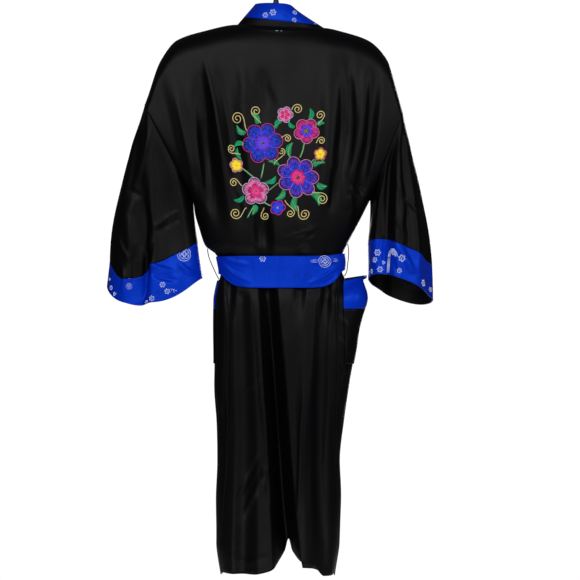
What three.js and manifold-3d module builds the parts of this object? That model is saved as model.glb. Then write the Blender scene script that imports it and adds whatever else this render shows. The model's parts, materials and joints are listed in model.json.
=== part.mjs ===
// A reversible kimono robe on a plain hanger, belted at the waist, in millimetres.
// The hook's inner top is the origin, +Z is up, the robe's back faces -Y and the wearer's left is at -X.
// Every cloth piece is a wall of two layers of satin, sewn edge to edge to its neighbours.
import * as THREE from "three";
import Module from "manifold-3d";

const wasm = await Module();
wasm.setup();

// Cloth
const WALL = 2; // thickness of the two layers
const SEAM = 0.3; // gap left between two pieces at a seam
const TRIM = SEAM / 2; // what each piece keeps back from the seam line
const CORNER = 2.7; // exponent of the body's rounded plan, 2 would be an ellipse
const ROOF = 55; // drop over which the cloth rolls from the shoulder line to full depth
const LAP = 7; // how far the under front lies behind the over front
const BAND_WIDTH = 57; // band down the two front edges
const NECK_DEPTH = 42; // how far behind the shoulder line the back neck sits

// Heights
const UNDERARM = -482;
const BELT_TOP = -600;
const BELT_BOTTOM = -667;
const HEM = -1276;
const FRONT_HEM = -1288;

// Counts
const BACK_COLUMNS = 40;
const FRONT_COLUMNS = 18;
const BAND_COLUMNS = 3;

// The shoulder line over the hanger, from the left sleeve seam to the right one.
const SHOULDER = [
  { x: -280, z: -277 },
  { x: -269, z: -245 },
  { x: -246, z: -182 },
  { x: -211, z: -139 },
  { x: -159, z: -121 },
  { x: -84, z: -106 },
  { x: 105, z: -113 },
  { x: 142, z: -121 },
  { x: 194, z: -138 },
  { x: 237, z: -181 },
  { x: 258, z: -245 },
  { x: 271, z: -294 },
];
const NECK = { left: -84, right: 105, dip: 9 };
const ARMHOLE = {
  left: { top: { x: -280, z: -277 }, under: { x: -178, z: UNDERARM } },
  right: { top: { x: 271, z: -294 }, under: { x: 202, z: UNDERARM } },
};

// The body's plan at each height: how far it reaches to each side, back and front, and where the side
// seams lie, as a share of the half width, 1 being the side itself.
const BODY = [
  { z: UNDERARM, left: -178, right: 202, back: 64, front: 58, seamLeft: 1, seamRight: 1 },
  { z: -512, left: -174, right: 187, back: 63, front: 57, seamLeft: 1, seamRight: 1 },
  { z: -546, left: -164, right: 169, back: 61, front: 56, seamLeft: 1, seamRight: 1 },
  { z: -580, left: -152, right: 151, back: 57, front: 54, seamLeft: 0.99, seamRight: 0.99 },
  { z: BELT_TOP, left: -128, right: 143, back: 51, front: 50, seamLeft: 0.96, seamRight: 0.97 },
  { z: -634, left: -118, right: 142, back: 49, front: 49, seamLeft: 0.93, seamRight: 0.94 },
  { z: -650, left: -121, right: 148, back: 50, front: 50, seamLeft: 0.91, seamRight: 0.89 },
  { z: BELT_BOTTOM, left: -125, right: 152, back: 52, front: 52, seamLeft: 0.88, seamRight: 0.84 },
  { z: -700, left: -129, right: 171, back: 60, front: 62, seamLeft: 0.82, seamRight: 0.7 },
  { z: -783, left: -132, right: 172, back: 64, front: 68, seamLeft: 0.79, seamRight: 0.72 },
  { z: -869, left: -132, right: 158, back: 67, front: 71, seamLeft: 0.79, seamRight: 0.8 },
  { z: -955, left: -128, right: 146, back: 69, front: 73, seamLeft: 0.8, seamRight: 0.87 },
  { z: -1041, left: -126, right: 137, back: 71, front: 75, seamLeft: 0.82, seamRight: 0.94 },
  { z: -1127, left: -129, right: 140, back: 73, front: 77, seamLeft: 0.86, seamRight: 0.97 },
  { z: -1213, left: -129, right: 137, back: 75, front: 79, seamLeft: 0.92, seamRight: 0.98 },
  { z: HEM, left: -119, right: 127, back: 76, front: 81, seamLeft: 0.96, seamRight: 0.98 },
];

// The edge of each front panel where its band is sewn on. The fronts cross at the waist and part again
// above the hem, so the hem shows an opening like an inverted V.
const FRONT_EDGE = {
  left: [
    { z: -106, x: -84 },
    { z: -350, x: -18 },
    { z: -600, x: 42 },
    { z: -680, x: 46 },
    { z: -900, x: 26 },
    { z: -1120, x: -32 },
    { z: FRONT_HEM, x: -72 },
  ],
  right: [
    { z: -113, x: 105 },
    { z: -350, x: 36 },
    { z: -600, x: -34 },
    { z: -680, x: -38 },
    { z: -900, x: -2 },
    { z: -1120, x: 74 },
    { z: FRONT_HEM, x: 118 },
  ],
};

// How far the back's hem is drawn up over x, fading out at the height DRAWN_FROM.
const DRAWN_FROM = -1000;
const HEM_RISE = [
  { x: -110, up: 2 },
  { x: -60, up: 2 },
  { x: -15, up: 10 },
  { x: 5, up: 23 },
  { x: 19, up: 38 },
  { x: 27, up: 64 },
  { x: 35, up: 41 },
  { x: 58, up: 29 },
  { x: 84, up: 17 },
  { x: 102, up: -4 },
  { x: 118, up: -4 },
  { x: 126, up: 0 },
];

// Folds that hang in the cloth. Each runs from height z0 to z1, centred on x0, xm, x1 at its start, middle
// and end, with half widths w0, w1 and depths d0, dm, d1 towards the inside. A minus is a ridge.
const FOLD_COLUMNS = ["name", "z0", "z1", "x0", "xm", "x1", "w0", "w1", "d0", "dm", "d1"];
const folds = (rows) => rows.map((row) => Object.fromEntries(FOLD_COLUMNS.map((key, i) => [key, row[i]])));
const BACK_FOLDS = folds([
  ["centre valley", -600, HEM, -22, 2, 24, 22, 29, 14, 66, 96],
  ["centre valley head", -480, -640, -30, -26, -22, 30, 22, 0, 9, 0],
  ["left side valley", -190, -585, -165, -140, -112, 24, 26, 0, 17, 0],
  ["left blade ridge", -135, -560, -150, -118, -92, 24, 26, 0, -8, 0],
  ["left inner valley", -170, -600, -112, -84, -62, 30, 26, 0, 9, 0],
  ["right blade valley", -150, -540, 152, 146, 128, 17, 26, 0, 13, 0],
  ["right blade ridge", -130, -580, 116, 112, 94, 26, 24, 0, -7, 0],
  ["right side valley", -170, -560, 214, 196, 158, 20, 18, 0, 13, 0],
  ["shoulder hollow", -180, -430, -22, -28, -34, 46, 40, 0, 6, 0],
  ["right hip ridge", -690, -1270, 72, 60, 66, 24, 26, 0, -9, -4],
  ["right hip valley", -680, HEM, 100, 92, 98, 20, 22, 6, 11, 8],
  ["left hip valley", -670, HEM, -72, -62, -66, 20, 30, 5, 7, 14],
  ["left waist gather", -560, -760, -98, -96, -94, 13, 15, 0, 8, 0],
  ["right waist gather", -560, -760, 58, 52, 44, 16, 18, 0, 8, 0],
  ["far right gather", -560, -770, 112, 108, 106, 14, 16, 0, 9, 0],
]);
const FRONT_FOLDS = folds([
  ["left chest valley", -190, -590, -168, -138, -108, 24, 26, 0, 15, 0],
  ["left chest ridge", -150, -570, -140, -104, -78, 24, 24, 0, -7, 0],
  ["right chest valley", -180, -570, 196, 176, 142, 22, 22, 0, 14, 0],
  ["right chest ridge", -150, -580, 156, 134, 106, 24, 24, 0, -7, 0],
  ["left skirt valley", -730, HEM, -68, -74, -86, 20, 28, 0, 18, 34],
  ["left skirt ridge", -680, HEM, -22, -34, -46, 22, 22, 0, -6, -8],
  ["right skirt valley", -640, HEM, 88, 94, 100, 20, 20, 5, 16, 18],
  ["left waist pleat", -560, -780, -96, -96, -98, 13, 14, 0, 8, 0],
  ["right waist pleat", -560, -780, 108, 110, 116, 13, 14, 0, 8, 0],
]);

// Rows of the panels: shares of the way from the shoulder line to the underarm, then heights.
const UPPER_ROWS = [0, 0.015, 0.06, 0.14, 0.27, 0.43, 0.6, 0.8];
const LOWER_ROWS = [
  UNDERARM, -512, -546, -576, -602, -634, -655, -684, -715, -770,
  -832, -900, -975, -1055, -1135, -1205, -1248, HEM,
];
const COLLAR_END = 4; // upper row where the collar meets the front bands
const SLEEVE_COLUMNS = 4 * UPPER_ROWS.length; // two for each row, on the back and on the front

// Each sleeve: the ring where the cuff is sewn on and the ring at its end, in plan. outer and inner are the
// ends of the ring seen from behind, half its half depth, and rise how much higher its back side hangs.
// bulge is how far the sleeve fills out halfway down, and droop how quickly the rise grows from each end.
const SLEEVES = {
  left: {
    seam: { outer: { x: -357, z: -613 }, inner: { x: -167, z: -574 }, half: 46, y: -4, rise: -26 },
    end: { outer: { x: -363, z: -664 }, inner: { x: -157, z: -650 }, half: 50, y: -4, rise: -44 },
    bulge: { outer: 8, inner: 1 },
    droop: { outer: 1.3, inner: 3 },
  },
  right: {
    seam: { outer: { x: 335, z: -625 }, inner: { x: 198, z: -574 }, half: 74, y: 4, rise: 20 },
    end: { outer: { x: 338, z: -699 }, inner: { x: 198, z: -649 }, half: 80, y: 4, rise: 22 },
    bulge: { outer: 0, inner: 3 },
    droop: { outer: 1.3, inner: 1.3 },
  },
};
// Folds of the sleeves. at is the place round the sleeve, 0 being its outer fold and 0.25 the middle of the
// back, w the half width, from and to the stretch of sleeve, 1 being the cuff seam and 2 the cuff's end.
const SLEEVE_FOLDS = {
  left: [
    { name: "elbow valley", at: 0.1875, w: 0.055, from: 0.4, to: 2.3, depth: 28, sag: 8 },
    { name: "elbow sag", at: 0.125, w: 0.1, from: 0.5, to: 2.08, depth: -4, sag: 30 },
    { name: "outer ridge", at: 0.09, w: 0.06, from: -0.1, to: 0.85, depth: -7, sag: 0 },
    { name: "inner hollow", at: 0.34, w: 0.09, from: 0.05, to: 1.6, depth: 9, sag: 0 },
    { name: "front valley", at: 0.75, w: 0.07, from: 0.1, to: 2.4, depth: 16, sag: 6 },
    { name: "front hollow", at: 0.6, w: 0.07, from: 0.05, to: 1.3, depth: 9, sag: 0 },
  ],
  right: [
    { name: "main valley", at: 0.344, w: 0.06, from: -0.5, to: 2.6, depth: 19, sag: 0 },
    { name: "outer valley", at: 0.22, w: 0.05, from: -0.3, to: 1.5, depth: 9, sag: 0 },
    { name: "outer hollow", at: 0.11, w: 0.07, from: 0.5, to: 2.3, depth: 8, sag: 4 },
    { name: "front valley", at: 0.66, w: 0.07, from: 0, to: 2.4, depth: 15, sag: 0 },
    { name: "front hollow", at: 0.85, w: 0.07, from: 0.2, to: 1.6, depth: 9, sag: 0 },
  ],
};
const SLEEVE_ROWS = [0, 0.12, 0.26, 0.42, 0.57, 0.71, 0.86, 1];
const CUFF_ROWS = [1, 1.4, 1.8, 2];

// Patch pockets on the fronts, set back round the sides, at rows and columns of the panels. gape is how far
// the mouth stands open over its first part.
const POCKET = { top: -655, bandBottom: -715, bottom: -832, clear: 0.5, mouth: 0.66, taper: 2.4 };
const POCKETS = { left: { from: 3, to: 11, gape: 12 }, right: { from: 1, to: 9, gape: 48 } };

// Hanger and hook
const HANGER = { left: -206, right: 189, high: 20, thick: 12, play: 0.6 };
const HOOK = { rod: 4.2, inner: 20, neckTop: -50, neckFoot: -112, neckWide: 25, neckNarrow: 12 };

const COLOURS = {
  satin: { color: 0x0b0c0e, roughness: 0.42, metalness: 0 },
  brocade: { color: 0x0a2ee6, roughness: 0.38, metalness: 0 },
  plastic: { color: 0x0a0a0b, roughness: 0.35, metalness: 0 },
  thread: { color: 0x15120f, roughness: 0.8, metalness: 0 },
};

const mix = (a, b, t) => a + (b - a) * t;
const clamp = (t, low = 0, high = 1) => Math.min(high, Math.max(low, t));
const ease = (t) => clamp(t) ** 2 * (3 - 2 * clamp(t));
const vec = (x, y, z) => new THREE.Vector3(x, y, z);

// A smooth curve through a table's rows that never swings past them.
function through(rows, key, value) {
  const at = rows.map((row) => row[key]);
  const to = rows.map((row) => row[value]);
  const last = rows.length - 1;
  const slope = at.slice(1).map((x, i) => (to[i + 1] - to[i]) / (x - at[i]));
  const tangent = at.map((_, i) => {
    if (i === 0 || i === last) return slope[Math.min(i, last - 1)];
    const [a, b] = [slope[i - 1], slope[i]];
    return a * b <= 0 ? 0 : (2 * a * b) / (a + b);
  });
  const up = at[last] > at[0] ? 1 : -1;
  return (x) => {
    let i = 0;
    while (i < last - 1 && up * (x - at[i + 1]) > 0) i += 1;
    const step = at[i + 1] - at[i];
    const t = clamp((x - at[i]) / step);
    const [t2, t3] = [t * t, t * t * t];
    return (
      to[i] * (2 * t3 - 3 * t2 + 1) +
      to[i + 1] * (3 * t2 - 2 * t3) +
      step * (tangent[i] * (t3 - 2 * t2 + t) + tangent[i + 1] * (t3 - t2))
    );
  };
}

const plan = Object.fromEntries(
  ["left", "right", "back", "front", "seamLeft", "seamRight"].map((key) => [key, through(BODY, "z", key)]),
);
const shoulderLine = through(SHOULDER, "x", "z");
const frontEdge = { left: through(FRONT_EDGE.left, "z", "x"), right: through(FRONT_EDGE.right, "z", "x") };

// Depth of a table's folds at one place, towards the inside. The belt presses the ridges flat.
function foldDepth(folds, x, z) {
  let depth = 0;
  const belted = Math.exp(-(((z - (BELT_TOP + BELT_BOTTOM) / 2) / 60) ** 2));
  for (const fold of folds) {
    const t = (z - fold.z0) / (fold.z1 - fold.z0);
    if (t <= 0 || t > 1.2) continue;
    const half = mix(fold.w0, fold.w1, clamp(t));
    const centre = t < 0.5 ? mix(fold.x0, fold.xm, t * 2) : mix(fold.xm, fold.x1, t * 2 - 1);
    const off = (x - centre) / half;
    if (Math.abs(off) >= 1) continue;
    const deep = t < 0.5 ? mix(fold.d0, fold.dm, ease(t * 2)) : mix(fold.dm, fold.d1, ease(t * 2 - 1));
    depth += (deep < 0 ? deep * (1 - belted) : deep) * (1 - off * off) ** 2;
  }
  return depth;
}

// Height of the shoulder line over x. Inside the neck it is the back neckline, or the neck side for a front.
function shoulderHeight(x, side) {
  if (side === "left") return shoulderLine(Math.min(x, NECK.left));
  if (side === "right") return shoulderLine(Math.max(x, NECK.right));
  const across = (x - NECK.left) / (NECK.right - NECK.left);
  const dip = across > 0 && across < 1 ? NECK.dip * Math.sin(Math.PI * across) ** 0.6 : 0;
  return shoulderLine(x) - dip;
}

// How far behind the shoulder line the back neckline lies at x.
function neckDepth(x) {
  const off = (2 * (x - NECK.left)) / (NECK.right - NECK.left) - 1;
  return Math.abs(off) < 1 ? NECK_DEPTH * Math.sqrt(1 - off * off) : 0;
}

const roof = (drop) => (drop >= ROOF ? 1 : Math.sqrt(1 - (1 - clamp(drop / ROOF)) ** 2));
const armholeShare = (share) => (1 - share ** 2.5) ** (1 / 2.5);

// Where the row at this share of the upper body meets the armhole seam.
function armholePoint(side, share) {
  const { top, under } = ARMHOLE[side];
  let [low, high] = [0, 1];
  for (let i = 0; i < 40; i += 1) {
    const t = (low + high) / 2;
    const rowHeight = mix(shoulderLine(mix(top.x, under.x, t)), UNDERARM, share);
    if (rowHeight < mix(top.z, under.z, t)) low = t;
    else high = t;
  }
  return { x: mix(top.x, under.x, low), z: mix(top.z, under.z, low) };
}

// One point of the upper body, above the underarm, on the back (face -1) or a front (face 1).
function upperPoint(face, side, share, x) {
  const from = armholePoint("left", share).x;
  const to = armholePoint("right", share).x;
  const over = shoulderHeight(x, side);
  const z = mix(over, UNDERARM, share);
  const off = clamp((2 * (x - from)) / (to - from) - 1, -1, 1);
  const side0 = armholeShare(share);
  const round = (1 - Math.abs(off) ** CORNER) ** (1 / CORNER);
  const full = face < 0 ? plan.back(UNDERARM) : plan.front(UNDERARM);
  const start = face < 0 ? neckDepth(x) : 0;
  const depth = start + (full - start) * roof(over - z) * (side0 + (1 - side0) * round);
  const fold = foldDepth(face < 0 ? BACK_FOLDS : FRONT_FOLDS, x, z) * roof((over - z) / 2);
  return vec(x, face * (depth - fold), z);
}

// One point of the lower body at height z and angle a, 0 being the right side and 270 degrees the back.
function lowerPoint(a, z) {
  const [left, right] = [plan.left(z), plan.right(z)];
  const [c, s] = [Math.cos(a), Math.sin(a)];
  const x = (left + right) / 2 + ((right - left) / 2) * Math.sign(c) * Math.abs(c) ** (2 / CORNER);
  const depth = (s < 0 ? plan.back(z) : plan.front(z)) * Math.abs(s) ** (2 / CORNER);
  const fold = foldDepth(s < 0 ? BACK_FOLDS : FRONT_FOLDS, x, z);
  return vec(x, Math.sign(s) * (depth - fold), z);
}

// The angle at which the plan reaches a share of its half width.
const angleAt = (share) => Math.acos(clamp(Math.sign(share) * Math.abs(share) ** (CORNER / 2), -1, 1));
const seamAngle = (side, z) =>
  side === "left" ? Math.PI + angleAt(plan.seamLeft(z)) : 2 * Math.PI - angleAt(plan.seamRight(z));
function frontAngle(x, z) {
  const [left, right] = [plan.left(z), plan.right(z)];
  return angleAt(clamp((2 * x - left - right) / (right - left), -1, 1));
}

// The under front lies behind the over front where that covers it.
function tuck(line, side) {
  if (side !== "right") return line;
  const last = line.length - 1;
  return line.map((p, i) => {
    const covered = ease((frontEdge.left(p.z) + BAND_WIDTH + 34 - p.x) / 30) * ease((-130 - p.z) / 90);
    const along = line[Math.min(i + 2, last)].clone().sub(line[Math.max(i - 2, 0)]);
    const inward = vec(-along.y, along.x, 0).normalize();
    if (inward.y > 0) inward.negate();
    return p.clone().addScaledVector(inward, LAP * covered);
  });
}

// The line of cloth at one row of the body, finely stepped, from one side to the other.
const FINE = 220;
function backLine(row) {
  return Array.from({ length: FINE + 1 }, (_, i) => {
    const t = i / FINE;
    if (row.share !== undefined) {
      const even = 0.5 - 0.5 * Math.cos(Math.PI * t);
      const x = mix(armholePoint("left", row.share).x, armholePoint("right", row.share).x, even);
      return upperPoint(-1, "back", row.share, x);
    }
    return lowerPoint(mix(seamAngle("left", row.z), seamAngle("right", row.z), t), row.z);
  });
}

// A front's line runs from the side to the band's free edge. The first FINE steps reach the band's seam.
const BAND_FINE = 60;
function frontLine(side, row) {
  const slant = side === "left" ? BAND_WIDTH : -BAND_WIDTH;
  let place;
  if (row.share !== undefined) {
    const level = mix(shoulderHeight(NECK[side], side), UNDERARM, row.share);
    const from = armholePoint(side, row.share).x;
    const seam = frontEdge[side](level);
    const across = (t) => mix(from, seam, 1 - Math.cos((Math.PI / 2) * t));
    place = (t, u) => upperPoint(1, side, row.share, across(t) + slant * u);
  } else {
    const seam = frontEdge[side](row.z);
    const from = side === "left" ? seamAngle("left", row.z) : seamAngle("right", row.z) - 2 * Math.PI;
    const to = frontAngle(seam, row.z);
    place = (t, u) => lowerPoint(t < 1 ? mix(from, to, t) : frontAngle(seam + slant * u, row.z), row.z);
  }
  const panel = Array.from({ length: FINE }, (_, i) => place(i / FINE, 0));
  const band = Array.from({ length: BAND_FINE + 1 }, (_, i) => place(1, i / BAND_FINE));
  return tuck([...panel, ...band], side);
}

// Points spaced evenly along a line, count steps, with its ends kept back.
function evenly(line, count, keepBack = [0, 0]) {
  const run = [0];
  for (let i = 1; i < line.length; i += 1) run.push(run[i - 1] + line[i].distanceTo(line[i - 1]));
  const [from, to] = [keepBack[0], run[run.length - 1] - keepBack[1]];
  let k = 0;
  return Array.from({ length: count + 1 }, (_, i) => {
    const at = mix(from, to, i / count);
    while (k < run.length - 2 && run[k + 1] < at) k += 1;
    return line[k].clone().lerp(line[k + 1], (at - run[k]) / (run[k + 1] - run[k] || 1));
  });
}

// Unit normals of a grid of points, out of the cloth. outward tells which way is out at a point.
function gridNormals(rows, outward, round = false) {
  const [down, across] = [rows.length, rows[0].length];
  const at = (i, j) => rows[clamp(i, 0, down - 1)][round ? (j + across) % across : clamp(j, 0, across - 1)];
  let turn = 0;
  const normals = rows.map((row, i) =>
    row.map((p, j) => {
      const along = at(i, j + 1).clone().sub(at(i, j - 1));
      const fall = at(i + 1, j).clone().sub(at(i - 1, j));
      const normal = fall.cross(along).normalize();
      turn += Math.sign(normal.dot(outward(p)));
      return normal;
    }),
  );
  if (turn < 0) normals.flat().forEach((normal) => normal.negate());
  return { normals, facing: turn < 0 ? -1 : 1 };
}

// A closed wall from rows of points on its outer face. round closes each row on itself, and fixed gives the
// normals of a seam that two pieces share.
function wall(rows, { round = false, outward, thick = WALL, fixed = () => undefined }) {
  const [down, across] = [rows.length, rows[0].length];
  const { normals, facing } = gridNormals(rows, outward, round);
  const positions = [];
  for (const shift of [0, -thick])
    rows.forEach((row, i) =>
      row.forEach((p, j) => {
        const normal = fixed(i, j) ?? normals[i][j];
        positions.push(...p.clone().addScaledVector(normal, shift));
      }),
    );
  const index = [];
  const quad = (a, b, c, d) => (facing > 0 ? index.push(a, c, b, a, d, c) : index.push(a, b, c, a, c, d));
  const inner = down * across;
  const id = (i, j, layer) => layer * inner + i * across + ((j + across) % across);
  const steps = round ? across : across - 1;
  for (let i = 0; i < down - 1; i += 1)
    for (let j = 0; j < steps; j += 1) {
      quad(id(i, j, 0), id(i, j + 1, 0), id(i + 1, j + 1, 0), id(i + 1, j, 0));
      quad(id(i, j, 1), id(i + 1, j, 1), id(i + 1, j + 1, 1), id(i, j + 1, 1));
    }
  for (let j = 0; j < steps; j += 1) {
    quad(id(0, j, 0), id(0, j, 1), id(0, j + 1, 1), id(0, j + 1, 0));
    quad(id(down - 1, j, 0), id(down - 1, j + 1, 0), id(down - 1, j + 1, 1), id(down - 1, j, 1));
  }
  if (!round)
    for (let i = 0; i < down - 1; i += 1) {
      quad(id(i, 0, 0), id(i + 1, 0, 0), id(i + 1, 0, 1), id(i, 0, 1));
      quad(id(i, across - 1, 0), id(i, across - 1, 1), id(i + 1, across - 1, 1), id(i + 1, across - 1, 0));
    }
  const geometry = new THREE.BufferGeometry();
  geometry.setAttribute("position", new THREE.Float32BufferAttribute(positions, 3));
  geometry.setIndex(index);
  return geometry;
}

// The normal of two directions on a surface, on the side that outward points to.
function normalOf(down, across, outward) {
  const normal = down.clone().cross(across).normalize();
  return normal.dot(outward) < 0 ? normal.negate() : normal;
}

// The normal that both pieces share at the shoulder seam, at an armhole seam and at a side seam.
function shoulderNormal(x) {
  return vec(-(shoulderLine(x + 3) - shoulderLine(x - 3)) / 6, 0, 1).normalize();
}
function armholeNormal(side, face, share) {
  if (share === 0) return shoulderNormal(ARMHOLE[side].top.x + (side === "left" ? 3 : -3));
  if (share === 1) return vec(0, 0, -1);
  const inward = side === "left" ? 8 : -8;
  const at = (s, shift) => upperPoint(face, side, s, armholePoint(side, s).x + shift);
  const down = at(share * 1.04, 0).sub(at(share * 0.96, 0));
  return normalOf(down, at(share, inward).sub(at(share, 0)), vec(0, face, 0.4));
}
function sideNormal(side, z) {
  if (z === UNDERARM) return vec(0, 0, -1);
  const at = (height, turn) => lowerPoint(seamAngle(side, height) + turn, height);
  const down = at(z - 6, 0).sub(at(z + 6, 0));
  return normalOf(down, at(z, 0.07).sub(at(z, -0.07)), vec(side === "left" ? -1 : 1, -0.4, 0));
}
const edgeNormal = (side, face, row) =>
  row.share === undefined ? sideNormal(side, row.z) : armholeNormal(side, face, row.share);

const ROWS = [...UPPER_ROWS.map((share) => ({ share })), ...LOWER_ROWS.map((z) => ({ z }))];

// The top row keeps back from the shoulder seam, which lies over y = 0.
function keepOffShoulder(row, face) {
  for (const p of row) if (Math.abs(p.y) < TRIM) p.y = face * TRIM;
  return row;
}
const onShoulder = (p) => Math.abs(p.y) < TRIM + 0.01;

// The back's hem is drawn up where its centre fold runs deep.
const hemRise = through(HEM_RISE, "x", "up");
function drawUpHem(p) {
  const low = clamp((DRAWN_FROM - p.z) / (DRAWN_FROM - HEM));
  p.z += low * ease(low) * hemRise(p.x);
  return p;
}

function backPanel() {
  const rows = ROWS.map((row) => evenly(backLine(row), BACK_COLUMNS, [TRIM, TRIM]).map(drawUpHem));
  keepOffShoulder(rows[0], -1);
  const fixed = (i, j) => {
    if (j === 0) return edgeNormal("left", -1, ROWS[i]);
    if (j === BACK_COLUMNS) return edgeNormal("right", -1, ROWS[i]);
    return i === 0 && onShoulder(rows[0][j]) ? shoulderNormal(rows[0][j].x) : undefined;
  };
  return wall(rows, { outward: () => vec(0, -1, 0), fixed });
}

// The normal that a front and its band share along their seam.
function bandNormals(side) {
  const lines = ROWS.map((row) => frontLine(side, row));
  return lines.map((line, i) => {
    const down = lines[Math.min(i + 1, lines.length - 1)][FINE].clone().sub(lines[Math.max(i - 1, 0)][FINE]);
    return normalOf(down, line[FINE + 4].clone().sub(line[FINE - 4]), vec(0, 1, 0.3));
  });
}

// The fronts hang a little lower than the back, away from the side seams.
function frontGrid(side) {
  const lines = ROWS.map((row) => frontLine(side, row).slice(0, FINE + 1));
  const rows = lines.map((line) => evenly(line, FRONT_COLUMNS, [TRIM, TRIM]));
  keepOffShoulder(rows[0], 1);
  rows.at(-1).forEach((p, j) => (p.z = mix(HEM, FRONT_HEM, ease((3 * j) / FRONT_COLUMNS))));
  return rows;
}

function frontPanel(side) {
  const rows = frontGrid(side);
  const seam = bandNormals(side);
  const fixed = (i, j) => {
    if (j === 0) return edgeNormal(side, 1, ROWS[i]);
    if (i === 0) return shoulderNormal(rows[0][j].x);
    return j === FRONT_COLUMNS ? seam[i] : undefined;
  };
  return wall(rows, { outward: () => vec(0, 1, 0), fixed });
}

// The band starts below the collar and ends at the hem.
function frontBand(side) {
  const rows = ROWS.slice(COLLAR_END).map((row) =>
    evenly(frontLine(side, row).slice(FINE), BAND_COLUMNS, [TRIM, 0]),
  );
  for (const p of rows.at(-1)) p.z = FRONT_HEM;
  const seam = bandNormals(side).slice(COLLAR_END);
  const fixed = (i, j) => (j === 0 || i === 0 ? seam[i] : undefined);
  return wall(rows, { outward: () => vec(0, 1, 0), fixed });
}

// A ring in plan: from the outer end round the back to the inner end and round the front again.
function sleeveRing({ outer, inner, half, y, rise }, droop) {
  return Array.from({ length: FINE + 1 }, (_, i) => {
    const a = (2 * Math.PI * i) / FINE;
    const [c, s] = [Math.cos(a), Math.sin(a)];
    const share = Math.sign(c) * Math.abs(c) ** (2 / 2.3);
    const across = (1 - share) / 2;
    const depth = Math.sign(s) * Math.abs(s) ** (2 / 2.3);
    const tilt = rise * Math.sign(depth) * Math.abs(depth) ** (c > 0 ? droop.outer : droop.inner);
    return vec(mix(outer.x, inner.x, across), y - half * depth, mix(outer.z, inner.z, across) + tilt);
  });
}

// The armhole seam as a ring, from the shoulder down the back and up the front, at the body's rows and
// halfway between them. value gives what is wanted at one row of the back or the front.
function armholeRing(value) {
  const shares = [...UPPER_ROWS, 1];
  const back = shares.map((share) => value(-1, share));
  const front = shares.map((share) => value(1, share)).reverse();
  const ring = [...back, ...front.slice(1)];
  return ring.slice(1).flatMap((p, i) => [ring[i], ring[i].clone().lerp(p, 0.5)]);
}

// One sleeve as a surface: t runs from 0 at the armhole to 1 at the cuff seam and 2 at its end.
function sleeveSurface(side) {
  const { seam, end, bulge, droop } = SLEEVES[side];
  const armhole = armholeRing((face, share) => upperPoint(face, side, share, armholePoint(side, share).x));
  const rings = [armhole, ...[seam, end].map((ring) => evenly(sleeveRing(ring, droop), SLEEVE_COLUMNS))];
  const middles = rings.map((ring) => ring[0].clone().lerp(ring[SLEEVE_COLUMNS / 2], 0.5));
  const outward = side === "left" ? -1 : 1;
  return (t, column) => {
    const j = (column + SLEEVE_COLUMNS) % SLEEVE_COLUMNS;
    const [a, s, e] = rings.map((ring) => ring[j]);
    const p = vec(0, 0, 0);
    if (t <= 1) {
      const leave = s.clone().sub(a);
      const arrive = e.clone().sub(s).multiplyScalar(a.distanceTo(s) / s.distanceTo(e));
      p.addScaledVector(a, 2 * t ** 3 - 3 * t ** 2 + 1).addScaledVector(s, 3 * t ** 2 - 2 * t ** 3);
      p.addScaledVector(leave, t ** 3 - 2 * t ** 2 + t).addScaledVector(arrive, t ** 3 - t ** 2);
      const facing = Math.cos((2 * Math.PI * j) / SLEEVE_COLUMNS);
      const swell = bulge.outer * Math.max(0, facing) + bulge.inner * Math.max(0, -facing);
      p.x += outward * 4 * t * (1 - t) * swell;
    } else p.copy(s).lerp(e, t - 1);
    const [near, far] = t <= 1 ? middles : middles.slice(1);
    const centre = near.clone().lerp(far, t <= 1 ? t : t - 1);
    const inward = vec(centre.x - p.x, centre.y - p.y, 0).normalize();
    for (const fold of SLEEVE_FOLDS[side]) {
      const along = clamp((t - fold.from) / (fold.to - fold.from));
      const off = (j / SLEEVE_COLUMNS - fold.at) / fold.w;
      if (Math.abs(off) >= 1) continue;
      const swell = Math.sin(Math.PI * along) * ease(t * 4) * (1 - off * off) ** 2;
      p.addScaledVector(inward, fold.depth * swell);
      p.z -= fold.sag * swell;
    }
    return p;
  };
}

// Which way a sleeve leaves the body at its armhole seam.
function armholeAway(side, face, share) {
  const out = side === "left" ? -1 : 1;
  if (share === 0 || share === 1) return vec(out, 0, -1).normalize();
  const at = (shift) => upperPoint(face, side, share, armholePoint(side, share).x + shift);
  return at(0).sub(at(-8 * out)).normalize();
}

function sleevePiece(side, steps) {
  const surface = sleeveSurface(side);
  const rows = steps.map((t) => Array.from({ length: SLEEVE_COLUMNS }, (_, j) => surface(t, j)));
  const last = rows.length - 1;
  const centre = rows[last][0].clone().lerp(rows[last][SLEEVE_COLUMNS / 2], 0.5);
  const armhole = armholeRing((face, share) => armholeNormal(side, face, share));
  const away = armholeRing((face, share) => armholeAway(side, face, share));
  const cuffSeam = (j) => {
    const across = surface(1, j + 1).sub(surface(1, j - 1));
    const p = surface(1, j);
    return normalOf(surface(1.06, j).sub(surface(0.96, j)), across, vec(p.x - centre.x, p.y - centre.y, 0));
  };
  const normals = { 0: (j) => armhole[j], 1: cuffSeam };
  const keepBack = (i, k, keep) =>
    rows[i].map((p, j) => p.clone().add(rows[k][j].clone().sub(p).setLength(keep)));
  const bottom = keepBack(last, last - 1, TRIM);
  const offArmhole = () => rows[0].map((p, j) => p.clone().addScaledVector(away[j], 2.2 * SEAM));
  rows[0] = steps[0] === 0 ? offArmhole() : keepBack(0, 1, TRIM);
  if (steps[last] < 2) rows[last] = bottom;
  return wall(rows, {
    round: true,
    outward: (p) => vec(p.x - centre.x, p.y - centre.y, 0),
    fixed: (i, j) => normals[steps[i]]?.(j),
  });
}

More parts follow.
